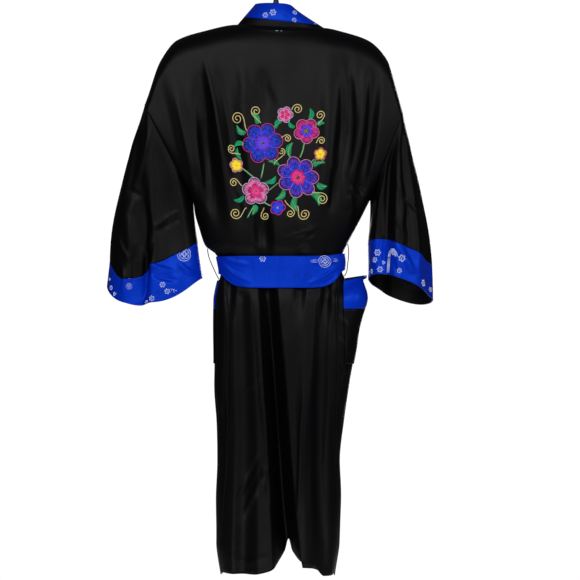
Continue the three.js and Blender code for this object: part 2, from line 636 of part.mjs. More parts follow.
// The collar's seam line: up the left front edge, round the back neck and down the right front edge. Each
// station holds its place on the seam line and on the free edge.
const COLLAR = { lean: { left: 39, right: 66 }, rise: { left: 46, middle: 51, right: 43 }, roll: 4 };
const STAND = { left: 17, right: 7 }; // height of the black strip at the two ends of the back neck
const COLLAR_STEPS = [0, 0.25, 0.5, 1, 1.5, 2, 3, 4].slice(1);
const BACK_COLLAR_STEPS = 12;
function collarLine() {
  const front = (side) =>
    COLLAR_STEPS.map((step) => {
      const share = mix(UPPER_ROWS[Math.floor(step)], UPPER_ROWS[Math.ceil(step)], step - Math.floor(step));
      const line = frontLine(side, { share });
      const flat = ease(step / COLLAR_END);
      const inward = side === "left" ? 1 : -1;
      const foot = line[FINE];
      const turned = vec(foot.x + inward * COLLAR.lean[side], foot.y + 4, foot.z + COLLAR.rise[side]);
      const edge = turned.lerp(line[FINE + BAND_FINE], flat);
      return { foot, edge, roll: COLLAR.roll * (1 - flat), stand: 0, front: 1 };
    });
  const back = Array.from({ length: BACK_COLLAR_STEPS + 1 }, (_, i) => {
    const across = 0.5 - 0.5 * Math.cos((Math.PI * i) / BACK_COLLAR_STEPS);
    const foot = upperPoint(-1, "back", 0, mix(NECK.left, NECK.right, across));
    const off = 2 * across - 1;
    const side = off < 0 ? "left" : "right";
    const lean = -Math.sign(off) * COLLAR.lean[side] * Math.abs(off) ** 1.3;
    const rise = mix(COLLAR.rise.middle, COLLAR.rise[side], off * off);
    const edge = vec(foot.x + lean, foot.y + 4, foot.z + rise);
    return { foot, edge, roll: COLLAR.roll, stand: mix(STAND.left, STAND.right, across) / rise, front: 0 };
  });
  return [...front("left").reverse(), ...back, ...front("right")];
}

// Rows of a strip of the collar between two shares of the way from its seam line to its free edge.
const COLLAR_GAP = 0.01;
function collarRows(stations, from, to, count) {
  return Array.from({ length: count + 1 }, (_, i) =>
    stations.map((station) => {
      const t = mix(from(station), to(station), i / count);
      const out = vec(0, station.front ? 1 : -1, station.front ? 0.4 : 0).normalize();
      const on = station.foot.clone().lerp(station.edge, t);
      return on.addScaledVector(out, Math.sin(Math.PI * t) * station.roll);
    }),
  );
}

function collar() {
  const stations = collarLine();
  const rows = collarRows(stations, ({ stand }) => stand + COLLAR_GAP, () => 1, 3);
  for (const row of rows)
    for (const [end, next] of [[0, 1], [row.length - 1, row.length - 2]])
      row[end].add(row[next].clone().sub(row[end]).setLength(SEAM));
  const [left, right] = ["left", "right"].map((side) => bandNormals(side)[COLLAR_END]);
  const ends = { 0: left, [stations.length - 1]: right };
  return wall(rows, { outward: (p) => vec(p.x - 10, p.y, 0), fixed: (_, j) => ends[j] });
}

function collarStand() {
  const stations = collarLine().filter(({ front }) => !front).slice(1, -1);
  const rows = collarRows(stations, () => 2 * COLLAR_GAP, ({ stand }) => stand, 1);
  return wall(rows, { outward: (p) => vec(p.x - 10, p.y, 0) });
}

// A pocket is made from its front's own points, moved out, so it lies on the panel. The band and the patch
// below it share the row they are sewn along.
function pocketPieces(side) {
  const { from, to, gape } = POCKETS[side];
  const { top, bandBottom, bottom, clear, mouth } = POCKET;
  const grid = frontGrid(side);
  const { normals } = gridNormals(grid, () => vec(0, 1, 0));
  const piece = (first, last, keep) => {
    const [i0, i1] = [first, last].map((z) => ROWS.findIndex((row) => row.z === z));
    const normal = (i, j) => normals[i0 + i][from + j];
    const rows = grid.slice(i0, i1 + 1).map((row, i) =>
      row.slice(from, to + 1).map((p, j) => {
        const share = j / (to - from) / mouth;
        const fall = (ROWS[i0 + i].z - bottom) / (top - bottom);
        const open = share < 1 ? gape * fall ** POCKET.taper * Math.sin(Math.PI * share) ** 1.2 : 0;
        return p.clone().addScaledVector(normal(i, j), WALL + clear + open);
      }),
    );
    const [edge, next] = keep === "last" ? [rows.at(-1), rows.at(-2)] : [rows[0], rows[1]];
    edge.forEach((p, j) => p.add(next[j].clone().sub(p).setLength(TRIM)));
    return wall(rows, { outward: () => vec(0, 1, 0), fixed: normal });
  };
  return [piece(top, bandBottom, "last"), piece(bandBottom, bottom, "first")];
}

// The belt wraps the waist outside the cloth and is squeezed narrower at the two sides.
const BELT = { clear: 0.5, corner: 2.4, columns: 40, thick: 2.4, crown: 2.5 };
const BELT_EDGES = {
  top: { left: -604, back: -603, right: -597, front: -598 },
  bottom: { left: -640, back: -670, right: -632, front: -646 },
};
function beltRow(share) {
  const line = Array.from({ length: FINE + 1 }, (_, i) => {
    const a = Math.PI / 2 + (2 * Math.PI * i) / FINE;
    const [c, s] = [Math.cos(a), Math.sin(a)];
    const sides = ease(Math.abs(c) ** 2.6);
    const edge = ({ left, back, right, front }) => mix(s < 0 ? back : front, c < 0 ? left : right, sides);
    const z = mix(edge(BELT_EDGES.top), edge(BELT_EDGES.bottom), share);
    const [left, right] = [plan.left(z), plan.right(z)];
    const corner = BELT.corner * Math.abs(Math.sin(2 * a)) ** 0.7 + 1.1 * Math.max(0, c) ** 4;
    const clear = BELT.clear + corner + 1.6 * share ** 3;
    const out = clear + BELT.thick + BELT.crown * Math.sin(Math.PI * share);
    const x = (left + right) / 2 + ((right - left) / 2 + out) * Math.sign(c) * Math.abs(c) ** (2 / CORNER);
    const depth = (s < 0 ? plan.back(z) : plan.front(z)) + out;
    return vec(x, depth * Math.sign(s) * Math.abs(s) ** (2 / CORNER), z);
  });
  return evenly(line, BELT.columns).slice(0, BELT.columns);
}
function belt() {
  return wall([0, 0.33, 0.67, 1].map(beltRow), {
    round: true,
    thick: BELT.thick,
    outward: (p) => vec(p.x - 10, p.y, 0),
  });
}

// The knot in front of the belt and the two ends that hang from it.
const KNOT = { x: 14, z: -622, wide: 27, deep: 15, high: 26 };
KNOT.y = plan.front(KNOT.z) + BELT.clear + BELT.thick + BELT.crown + SEAM + KNOT.deep;
function beltKnot() {
  const shape = new THREE.SphereGeometry(1, 16, 8);
  shape.deleteAttribute("normal");
  shape.deleteAttribute("uv");
  const at = shape.attributes.position;
  for (let i = 0; i < at.count; i += 1) {
    const [x, y, z] = [at.getX(i), at.getY(i), at.getZ(i)];
    const square = (v) => Math.sign(v) * Math.abs(v) ** 0.8;
    at.setXYZ(i, square(x) * KNOT.wide, square(y) * KNOT.deep, square(z) * KNOT.high);
  }
  return shape.translate(KNOT.x, KNOT.y, KNOT.z);
}
const BELT_ENDS = {
  left: { x0: 2, x1: -26, forward: 0, length: 430, half: 29, sway: 7, clear: 11 },
  right: { x0: 26, x1: 52, forward: 4, length: 395, half: 29, sway: -6, clear: 18 },
};
const BELT_PINCH = 11; // half the width of an end where it leaves the knot
function beltEnd(side) {
  const { x0, x1, forward, length, half, sway, clear } = BELT_ENDS[side];
  const [steps, columns] = [12, 4];
  const rows = Array.from({ length: steps + 1 }, (_, i) => {
    const t = i / steps;
    const z = KNOT.z - KNOT.high - SEAM - t * length;
    const middle = mix(x0, x1, ease(t)) + sway * Math.sin(Math.PI * 1.6 * t);
    const reach = mix(BELT_PINCH, half, ease(t * 2.6));
    const y = mix(KNOT.y + forward, plan.front(z) + clear + 2.5 * Math.sin(5 * t), ease(t * 4));
    return Array.from({ length: columns + 1 }, (_, j) => {
      const off = (2 * j) / columns - 1;
      const wave = 1.6 * Math.sin(Math.PI * off + 3 * t);
      const cup = 4 * ease(t * 5) * (1 - ease(t * 2)) * Math.cos((Math.PI / 2) * off) + wave * ease(t * 5);
      return vec(middle + off * reach, y + cup, z);
    });
  });
  return wall(rows, { outward: () => vec(0, 1, 0) });
}

// A thread loop at each side carries the belt. Its two ends are sewn to the cloth above and below the belt.
const LOOPS = {
  left: { from: -586, to: -652, way: [[-146.5, -594], [-144, -605], [-139.5, -617], [-134.5, -628], [-129.5, -639]] },
  right: { from: -576, to: -645, way: [[156, -588], [156, -600], [155, -612], [153.5, -624], [152.2, -635]] },
};
const LOOP_RADIUS = 1.1;
function beltLoop(side) {
  const { from, to, way } = LOOPS[side];
  const off = (side === "left" ? -1 : 1) * (LOOP_RADIUS + SEAM);
  const sewn = (z) => vec(plan[side](z) + off, 0, z);
  return tube([sewn(from), ...way.map(([x, z]) => vec(x, 0, z)), sewn(to)], LOOP_RADIUS, 14, 6);
}
function tube(points, radius, steps, sides) {
  const ring = new THREE.Shape();
  for (let i = 0; i < sides; i += 1) {
    const a = (2 * Math.PI * i) / sides;
    if (i === 0) ring.moveTo(radius, 0);
    else ring.lineTo(radius * Math.cos(a), radius * Math.sin(a));
  }
  ring.closePath();
  const path = new THREE.CatmullRomCurve3(points, false, "centripetal");
  return new THREE.ExtrudeGeometry(ring, { steps, extrudePath: path, bevelEnabled: false, curveSegments: 1 });
}

// Plain solids of a geometry, for joining.
function solid(geometry) {
  const bare = new THREE.BufferGeometry();
  const source = geometry.index ? geometry.toNonIndexed() : geometry;
  const flat = Array.from(source.attributes.position.array);
  const [points, faces, seen] = [[], [], new Map()];
  for (let i = 0; i < flat.length; i += 3) {
    const key = flat.slice(i, i + 3).map((v) => Math.round(v * 1e4)).join();
    if (!seen.has(key)) {
      seen.set(key, points.length / 3);
      points.push(...flat.slice(i, i + 3));
    }
    faces.push(seen.get(key));
  }
  const kept = [];
  for (let i = 0; i < faces.length; i += 3) {
    const [a, b, c] = faces.slice(i, i + 3);
    if (a !== b && b !== c && c !== a) kept.push(a, b, c);
  }
  bare.dispose();
  return new wasm.Manifold(
    new wasm.Mesh({ numProp: 3, vertProperties: new Float32Array(points), triVerts: new Uint32Array(kept) }),
  );
}
function toGeometry(made) {
  const { vertProperties, triVerts } = made.getMesh();
  const geometry = new THREE.BufferGeometry();
  geometry.setAttribute("position", new THREE.BufferAttribute(vertProperties, 3));
  geometry.setIndex(new THREE.BufferAttribute(triVerts, 1));
  return geometry;
}

// Arms that follow the shoulder line from the inside, with a tapered neck that carries the hook.
function hangerArms() {
  const { left, right, high, thick, play } = HANGER;
  const below = high / 2 + WALL + play;
  const xs = [left, left + 20, -160, -110, -60, 0, 60, 120, 150, right - 16, right];
  const points = xs.map((x) => {
    const inside = x > NECK.left - 14 && x < NECK.right + 14;
    const across = (x - NECK.left) / (NECK.right - NECK.left);
    const top = inside ? mix(shoulderLine(NECK.left), shoulderLine(NECK.right), across) : shoulderLine(x);
    const tilt = Math.hypot(1, shoulderLine(x + 2) / 4 - shoulderLine(x - 2) / 4);
    return vec(x, 0, top - below * (inside ? 1.05 : tilt));
  });
  const section = new THREE.Shape();
  const sides = 10;
  for (let i = 0; i < sides; i += 1) {
    const a = (2 * Math.PI * i) / sides;
    const [u, v] = [(thick / 2) * Math.cos(a), (high / 2) * Math.sin(a)];
    if (i === 0) section.moveTo(u, v);
    else section.lineTo(u, v);
  }
  section.closePath();
  const path = new THREE.CatmullRomCurve3(points, false, "centripetal");
  const arms = new THREE.ExtrudeGeometry(section, { steps: 24, extrudePath: path, bevelEnabled: false });
  const { neckTop, neckFoot, neckWide, neckNarrow } = HOOK;
  const profile = [
    new THREE.Vector2(0, neckFoot - 6),
    new THREE.Vector2(neckWide / 2, neckFoot - 6),
    new THREE.Vector2(neckWide / 2 - 1, neckFoot + 10),
    new THREE.Vector2(mix(neckWide, neckNarrow, 0.55) / 2, mix(neckFoot, neckTop, 0.5)),
    new THREE.Vector2(neckNarrow / 2, neckTop - 5),
    new THREE.Vector2(neckNarrow / 2 - 1, neckTop),
    new THREE.Vector2(0, neckTop),
  ];
  const neck = new THREE.LatheGeometry(profile, 12).rotateX(Math.PI / 2).scale(1, 0.55, 1);
  return toGeometry(solid(arms).add(solid(neck)));
}

// The hook: up from the neck, round over the origin and down on the other side.
function hangerHook() {
  const { rod, inner, neckTop } = HOOK;
  const round = inner + rod;
  const points = [vec(0, 0, neckTop + SEAM), vec(0, 0, neckTop + 5)];
  for (let degrees = -62; degrees <= 205; degrees += 20.5) {
    const a = (degrees * Math.PI) / 180;
    points.push(vec(round * Math.cos(a), 0, -inner + round * Math.sin(a)));
  }
  return tube(points, rod, 30, 8);
}

const robe = new THREE.Group();
function add(name, geometry, colour) {
  const mesh = new THREE.Mesh(geometry, new THREE.MeshStandardMaterial(COLOURS[colour]));
  mesh.name = name;
  robe.add(mesh);
}

add("back", backPanel(), "satin");
for (const side of ["left", "right"]) {
  add(`front_${side}`, frontPanel(side), "satin");
  add(`front_band_${side}`, frontBand(side), "brocade");
  add(`sleeve_${side}`, sleevePiece(side, SLEEVE_ROWS), "satin");
  add(`cuff_${side}`, sleevePiece(side, CUFF_ROWS), "brocade");
  const [band, patch] = pocketPieces(side);
  add(`pocket_band_${side}`, band, "brocade");
  add(`pocket_${side}`, patch, "satin");
  add(`belt_end_${side}`, beltEnd(side), "brocade");
  add(`belt_loop_${side}`, beltLoop(side), "thread");
}
add("collar", collar(), "brocade");
add("collar_stand", collarStand(), "satin");
add("belt", belt(), "brocade");
add("belt_knot", beltKnot(), "brocade");
add("hanger_arms", hangerArms(), "plastic");
add("hanger_hook", hangerHook(), "plastic");

export default robe;
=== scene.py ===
"""A reversible kimono robe of black satin and blue brocade, tied at the waist, on a plain hanger.

The hook's inner top is the origin. Lengths in the tables are millimetres, the robe's back faces -Y, and
left and right are as seen from behind."""
import json
import math

import bpy
import numpy as np
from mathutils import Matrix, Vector

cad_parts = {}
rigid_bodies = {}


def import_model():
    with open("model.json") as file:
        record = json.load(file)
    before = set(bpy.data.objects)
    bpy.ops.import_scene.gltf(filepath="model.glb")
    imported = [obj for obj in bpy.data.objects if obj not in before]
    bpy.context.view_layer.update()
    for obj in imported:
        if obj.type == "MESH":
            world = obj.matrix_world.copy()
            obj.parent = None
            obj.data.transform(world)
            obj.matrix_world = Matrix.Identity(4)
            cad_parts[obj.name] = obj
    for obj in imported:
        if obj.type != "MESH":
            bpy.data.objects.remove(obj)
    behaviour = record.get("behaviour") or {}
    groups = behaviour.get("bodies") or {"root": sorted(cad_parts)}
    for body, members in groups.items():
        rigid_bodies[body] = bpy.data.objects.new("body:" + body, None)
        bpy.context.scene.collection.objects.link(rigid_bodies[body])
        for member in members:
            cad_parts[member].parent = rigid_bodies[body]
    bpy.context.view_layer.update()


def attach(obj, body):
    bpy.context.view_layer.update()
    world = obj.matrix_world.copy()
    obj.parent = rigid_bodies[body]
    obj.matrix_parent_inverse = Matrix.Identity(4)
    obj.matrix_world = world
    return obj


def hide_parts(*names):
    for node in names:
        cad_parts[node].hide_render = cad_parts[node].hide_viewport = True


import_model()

MM = 0.001
WALL = 2.0  # thickness of the two layers of cloth
SEAM = 0.3  # gap between two pieces at a seam
TRIM = SEAM / 2  # what each piece keeps back from a seam line
CORNER = 2.7  # exponent of the body's rounded plan
SLEEVE_CORNER = 2.3  # the same for the rings of a sleeve
ROOF = 55.0  # drop over which the cloth rolls from the shoulder line to full depth
LAP = 7.0  # how far the under front lies behind the over front
LAP_MARGIN = 34.0  # how far it does so past the over front's band
LAP_EASE = 30.0  # width over which it comes forward again
LAP_TOP = -130.0  # height at which it starts to lie behind
LAP_RUN = 90.0  # height over which it gets there
FOLD_START = 22.0  # height over which a hanging fold deepens at its top
BAND_WIDTH = 57.0
NECK_DEPTH = 42.0
NECK_DIP = 9.0
UNDERARM = -482.0
BELT_TOP = -600.0
BELT_BOTTOM = -667.0
BELT_MIDDLE = (BELT_TOP + BELT_BOTTOM) / 2
BELT_PRESS = 60.0  # reach from the belt's middle over which it flattens ridges
BELT_HOLD = 44.0  # and that in which it keeps the cloth from creasing
SEAM_HOLD = 0.03  # share of a piece's width beside its seams that doesn't crease
SHOULDER_HOLD = 9  # rows below the shoulder over which creases start
HEM = -1276.0
FRONT_HEM = -1288.0
FRONT_LOW = -1240.0  # height from which the fronts reach down to their own hem
EVEN_REACH = 16.0  # heights over which the cloth is evened out at the underarm
EVEN_SPREAD = 80.0  # and how far up and down from it
EVEN_MARGIN = 0.08  # share of the width beside the seams that stays as it is
FACING = 2.4  # how fast a crease ends where the cloth turns edge on
SEEN = -0.1  # the view from behind shows cloth whose normal's y is under this
HIDDEN = 0.15  # and further ornaments are charted where it is over this
SLOW_WAVE = 0.9  # waviness that all the cloth has
QUICK_WAVE = 0.45

# Steps of the grids that the cloth is made of.
FINE = 300  # a body line, before it is spaced evenly
BAND_FINE = 60
UPPER_ROWS = 97
LOWER_ROWS = 133
BACK_COLUMNS = 188
FRONT_COLUMNS = 84
BAND_COLUMNS = 16
SLEEVE_COLUMNS = 160
SLEEVE_ROWS = 92
CUFF_ROWS = 40
POCKET_ROWS = 26
POCKET_FINE = 180  # columns of the front that a pocket lies on
COLLAR_FRONT = 40  # stations of the collar down each front
COLLAR_BACK = 61  # and round the back of the neck
COLLAR_ROWS = 16
STAND_ROWS = 8
BELT_COLUMNS = 240
BELT_ROWS = 25
BELT_END_ROWS = 90
BELT_END_COLUMNS = 17
KNOT_COLUMNS = 96
KNOT_ROWS = 48

# The shoulder line over the hanger: x and height.
SHOULDER = [
    (-280, -277), (-269, -245), (-246, -182), (-211, -139), (-159, -121), (-84, -106),
    (105, -113), (142, -121), (194, -138), (237, -181), (258, -245), (271, -294),
]
NECK = {"left": -84.0, "right": 105.0}
# Each armhole's top and lowest point: x and height.
ARMHOLE = {"left": ((-280, -277), (-178, UNDERARM)), "right": ((271, -294), (202, UNDERARM))}

# The body's plan: height, reach to each side, back and front, and the side seams' share of the half width.
PLAN_COLUMNS = ("left", "right", "back", "front", "seam_left", "seam_right")
BODY = [
    (UNDERARM, -178, 202, 64, 58, 1, 1),
    (-512, -174, 187, 63, 57, 1, 1),
    (-546, -164, 169, 61, 56, 1, 1),
    (-580, -152, 151, 57, 54, 0.99, 0.99),
    (BELT_TOP, -128, 143, 51, 50, 0.96, 0.97),
    (-634, -118, 142, 49, 49, 0.93, 0.94),
    (-650, -121, 148, 50, 50, 0.91, 0.89),
    (BELT_BOTTOM, -125, 152, 52, 52, 0.88, 0.84),
    (-700, -129, 171, 60, 62, 0.82, 0.7),
    (-783, -132, 172, 64, 68, 0.79, 0.72),
    (-869, -132, 158, 67, 71, 0.79, 0.8),
    (-955, -128, 146, 69, 73, 0.8, 0.87),
    (-1041, -126, 137, 71, 75, 0.82, 0.94),
    (-1127, -129, 140, 73, 77, 0.86, 0.97),
    (-1213, -129, 137, 75, 79, 0.92, 0.98),
    (HEM, -119, 127, 76, 81, 0.96, 0.98),
]

# The edge of each front panel where its band is sewn on: height and x.
FRONT_EDGE = {
    "left": [(-106, -84), (-350, -18), (-600, 42), (-680, 46), (-900, 26), (-1120, -32), (FRONT_HEM, -72)],
    "right": [(-113, 105), (-350, 36), (-600, -34), (-680, -38), (-900, -2), (-1120, 74), (FRONT_HEM, 118)],
}

# How far the back's hem is drawn up over x.
DRAWN_FROM = -1000.0
HEM_RISE = [
    (-110, 2), (-60, 2), (-15, 10), (5, 23), (19, 38), (27, 64),
    (35, 41), (58, 29), (84, 17), (102, -4), (118, -4), (126, 0),
]

# Hanging folds: heights z0 and z1, x at start, middle and end, half widths, and depths. A minus is a ridge.
BACK_FOLDS = [
    (-600, HEM, -22, 2, 24, 22, 29, 14, 66, 96),
    (-480, -640, -30, -26, -22, 30, 22, 0, 9, 0),
    (-190, -585, -165, -140, -112, 24, 26, 0, 17, 0),
    (-135, -560, -150, -118, -92, 24, 26, 0, -8, 0),
    (-170, -600, -112, -84, -62, 30, 26, 0, 9, 0),
    (-150, -540, 152, 146, 128, 17, 26, 0, 13, 0),
    (-130, -580, 116, 112, 94, 26, 24, 0, -7, 0),
    (-170, -560, 214, 196, 158, 20, 18, 0, 13, 0),
    (-180, -430, -22, -28, -34, 46, 40, 0, 6, 0),
    (-690, -1270, 72, 60, 66, 24, 26, 0, -9, -4),
    (-680, HEM, 100, 92, 98, 20, 22, 6, 11, 8),
    (-670, HEM, -72, -62, -66, 20, 30, 5, 7, 14),
    (-560, -760, -98, -96, -94, 13, 15, 0, 8, 0),
    (-560, -760, 58, 52, 44, 16, 18, 0, 8, 0),
    (-560, -770, 112, 108, 106, 14, 16, 0, 9, 0),
]
FRONT_FOLDS = [
    (-190, -590, -168, -138, -108, 24, 26, 0, 15, 0),
    (-150, -570, -140, -104, -78, 24, 24, 0, -7, 0),
    (-180, -570, 196, 176, 142, 22, 22, 0, 14, 0),
    (-150, -580, 156, 134, 106, 24, 24, 0, -7, 0),
    (-730, HEM, -68, -74, -86, 20, 28, 0, 18, 34),
    (-680, HEM, -22, -34, -46, 22, 22, 0, -6, -8),
    (-640, HEM, 88, 94, 100, 20, 20, 5, 16, 18),
    (-560, -780, -96, -96, -98, 13, 14, 0, 8, 0),
    (-560, -780, 108, 110, 116, 13, 14, 0, 8, 0),
]

# Each sleeve: the ring at the cuff seam and the ring at its end, how far it fills out, and its droop.
SLEEVES = {
    "left": {
        "seam": {"outer": (-357, -613), "inner": (-167, -574), "half": 46, "y": -4, "rise": -26},
        "end": {"outer": (-363, -664), "inner": (-157, -650), "half": 50, "y": -4, "rise": -44},
        "bulge": (8, 1),
        "droop": (1.3, 3),
    },
    "right": {
        "seam": {"outer": (335, -625), "inner": (198, -574), "half": 74, "y": 4, "rise": 20},
        "end": {"outer": (338, -699), "inner": (198, -649), "half": 80, "y": 4, "rise": 22},
        "bulge": (0, 3),
        "droop": (1.3, 1.3),
    },
}
# Folds of the sleeves: place round the sleeve, half width, stretch of sleeve, depth and sag.
SLEEVE_FOLDS = {
    "left": [
        (0.1875, 0.055, 0.4, 2.3, 28, 8),
        (0.125, 0.1, 0.5, 2.08, -4, 30),
        (0.09, 0.06, -0.1, 0.85, -7, 0),
        (0.34, 0.09, 0.05, 1.6, 9, 0),
        (0.75, 0.07, 0.1, 2.4, 16, 6),
        (0.6, 0.07, 0.05, 1.3, 9, 0),
    ],
    "right": [
        (0.344, 0.06, -0.5, 2.6, 19, 0),
        (0.22, 0.05, -0.3, 1.5, 9, 0),
        (0.11, 0.07, 0.5, 2.3, 8, 4),
        (0.66, 0.07, 0, 2.4, 15, 0),
        (0.85, 0.07, 0.2, 1.6, 9, 0),
    ],
}
# Rows of the body from the shoulder to the underarm, and the same rows as steps round an armhole.
ARMHOLE_SHARES = [0, 0.015, 0.06, 0.14, 0.27, 0.43, 0.6, 0.8, 1]

# Steps of a sleeve inside its armhole and before its cuff, and those of the cuff.
SLEEVE_STEPS = (0.003, 0.9998)
CUFF_STEPS = (1.0004, 2)
SLEEVE_MIDDLE = {"left": (-262, 0, 0), "right": (262, 0, 0)}

POCKET = {"top": -655.0, "band_bottom": -715.0, "bottom": -832.0, "clear": 0.5, "mouth": 0.66, "taper": 2.4}
# Each pocket: where it starts and stops over the front's width, and how far its mouth gapes.
POCKETS = {"left": (3 / 18, 11 / 18, 12), "right": (1 / 18, 9 / 18, 48)}
# The collar leans out and rises by these at its left, back and right, and rolls out between.
COLLAR = {"lean": (39, 66), "rise": (46, 51, 43), "roll": 4, "end": 0.27, "stand": (17, 7)}
STAND_LAP = (0.02, 0.004)  # shares of the rise by which the stand goes under its foot and over its top
COLLAR_TURN = {"back": (0, -1.0, 0), "front": (0, 0.93, 0.37)}
BELT = {"clear": 0.5, "corner": 2.4, "right": 1.1, "flare": 1.6, "thick": 2.4, "crown": 2.5}
# Heights of the belt's edges at the left, back, right and front.
BELT_EDGES = {"top": (-604, -603, -597, -598), "bottom": (-640, -670, -632, -646)}
KNOT = {"x": 14, "z": -622, "wide": 27, "deep": 15, "high": 26}
BELT_ENDS = {
    "left": {"x0": 2, "x1": -26, "forward": 0, "length": 430, "half": 29, "sway": 7, "clear": 11},
    "right": {"x0": 26, "x1": 52, "forward": 4, "length": 395, "half": 29, "sway": -6, "clear": 18},
}
BELT_PINCH = 11

# The view from behind: its size, the column and row of the origin, and the pitch of a column.
VIEW = {"size": 580, "column": 276, "row": -24, "pitch": 2.15}
CAMERA = (30.1, -3000.0, -675.0)
SENSOR = 36

# Creases pressed in one by one: half width, depth (a minus is a ridge), and a path. On the robe's back the
# path is in columns and rows of the view, on its front in x and z.
BACK_CREASES = [
    (4, -1.4, [(238, 27), (258, 29.4), (281, 30.8), (304, 30.2), (324, 28.4)]),
    (8, -3.4, [(204, 58), (210, 85), (215, 107), (219, 135), (223, 163)]),
    (15, 2.4, [(199, 70), (206, 100), (210, 135)]),
    (26, -5, [(168, 68), (179, 110), (190, 160), (198, 202)]),
    (9, -2.2, [(176, 96), (184, 132), (192, 172), (197, 200)]),
    (16, 5.5, [(202, 120), (207, 165), (208, 212)]),
    (18, 2.6, [(262, 68), (264, 88), (273, 108)]),
    (16, -2, [(240, 60), (244, 84), (246, 104)]),
    (9, -3, [(341, 70), (345, 90), (345, 130), (339, 165)]),
    (13, 5, [(351, 78), (353, 120), (349, 172)]),
    (13, -3, [(365, 66), (364, 110), (360, 165)]),
    (7, 2.6, [(350, 181), (360, 189), (369, 197)]),
    (6, -2.2, [(348, 188), (357, 194), (366, 202)]),
    (11, -3, [(349, 195), (352, 210), (346, 228)]),
    (6, -2, [(281, 240), (300, 234), (321, 226)]),
    (5, 1.5, [(284, 243), (302, 238), (320, 231)]),
    (5, -1.6, [(296, 248), (305, 243), (314, 238)]),
    (26, 6, [(259, 204), (262, 226), (265, 248)]),
    (22, -3.5, [(301, 214), (305, 232), (309, 249)]),
    (14, 4, [(334, 168), (334, 190), (332, 212)]),
    (10, -2.6, [(232, 176), (241, 196), (247, 216)]),
    (5, -1.6, [(235, 150), (238, 162)]),
    (9, -1.8, [(255, 296), (259, 350), (262, 400), (268, 450), (276, 510)]),
    (9, -1.6, [(284, 330), (288, 370), (292, 420), (296, 480)]),
    (7, -3.2, [(304, 388), (301, 430), (300, 467), (298, 516)]),
    (12, 1.8, [(311, 396), (309, 450), (306, 508)]),
    (5, -2, [(242, 389), (252, 386), (265, 380)]),
    (5, 1.5, [(244, 393), (254, 390), (264, 386)]),
    (10, -2.4, [(271, 460), (256, 490), (239, 524)]),
    (9, 2, [(262, 452), (248, 478), (235, 504)]),
    (11, -2.4, [(262, 463), (268, 484), (273, 506)]),
    (10, -2, [(226, 556), (248, 563), (270, 556)]),
    (6, 1.3, [(229, 300), (229, 345), (227, 397), (222, 435), (217, 470)]),
    (6, -1.6, [(224, 300), (223, 360), (221, 405), (214, 458)]),
    (5, -2, [(217, 384), (219, 400), (222, 416)]),
    (6, 1.3, [(335, 300), (337, 350), (338, 415)]),
    (5, -2.6, [(340, 316), (346, 325), (351, 336)]),
    (5, -2.6, [(339, 338), (346, 346), (350, 357)]),
    (6, -2.6, [(341, 358), (346, 370), (342, 387)]),
    (6, -2, [(339, 392), (343, 406), (340, 422)]),
    (14, -2.5, [(326, 420), (324, 470), (326, 540)]),
]
FRONT_CREASES = [
    (9, -3, [(-185, -240), (-165, -330), (-150, -430)]),
    (15, 4, [(-142, -270), (-120, -400), (-104, -510)]),
    (10, -3, [(152, -230), (141, -330), (128, -430)]),
    (14, 4.5, [(178, -260), (166, -380), (150, -490)]),
    (7, -2.2, [(-95, -535), (-60, -556), (-25, -572)]),
    (6, 1.8, [(-90, -547), (-58, -567), (-25, -583)]),
    (7, -2.5, [(60, -515), (90, -540), (118, -560)]),
    (8, -3, [(-60, -740), (-64, -900), (-72, -1080)]),
    (12, 3, [(-40, -760), (-44, -930), (-52, -1120)]),
    (9, -3, [(96, -860), (92, -1000), (88, -1170)]),
    (11, 3, [(70, -880), (66, -1040), (60, -1210)]),
    (6, -2, [(-104, -900), (-80, -910), (-58, -926)]),
    (9, -2.4, [(0, -980), (-18, -1080), (-40, -1180)]),
]
SLEEVE_BACK_CREASES = {
    "left": [
        (10, -3.6, [(152, 122), (145, 150), (138, 175), (133, 192)]),
        (10, 2.4, [(121, 194), (130, 190), (141, 197)]),
        (17, -3.8, [(135, 194), (127, 214), (130, 240), (136, 258)]),
        (11, 3.6, [(144, 200), (148, 222), (150, 242)]),
        (7, -2.6, [(153, 228), (165, 219), (178, 211)]),
        (7, 2.4, [(156, 233), (168, 225), (180, 218)]),
        (6, -2.4, [(116, 234), (123, 250), (131, 263)]),
        (9, 3.6, [(137, 244), (134, 262), (134, 284)]),
        (6, -3.2, [(142, 246), (141, 264), (141, 284)]),
        (8, 4.5, [(152, 242), (148, 260), (147, 282)]),
        (6, 3, [(180, 168), (187, 180), (193, 192)]),
        (5, -2.6, [(176, 180), (186, 187), (193, 195)]),
    ],
    "right": [
        (7, 2.4, [(388, 110), (389, 150), (387, 200), (386, 246)]),
        (8, -1.8, [(380, 130), (380, 170), (378, 234)]),
        (9, 2.8, [(394, 110), (398, 150), (399, 186)]),
        (11, -3.4, [(399, 176), (405, 200), (401, 224), (406, 244)]),
        (6, -2.2, [(406, 197), (412, 205), (419, 214)]),
        (14, -3, [(394, 88), (402, 120), (411, 158)]),
    ],
}
SLEEVE_FRONT_CREASES = {
    "left": [
        (10, -3.5, [(-290, -330), (-300, -420), (-305, -510)]),
        (10, 3.5, [(-272, -470), (-262, -540), (-258, -620)]),
        (7, -2.6, [(-245, -565), (-218, -545), (-198, -528)]),
    ],
    "right": [
        (8, 3.6, [(245, -350), (250, -450), (256, -580)]),
        (10, -3.2, [(276, -400), (284, -480), (292, -570)]),
        (7, -2.4, [(225, -560), (245, -545), (262, -520)]),
    ],
}
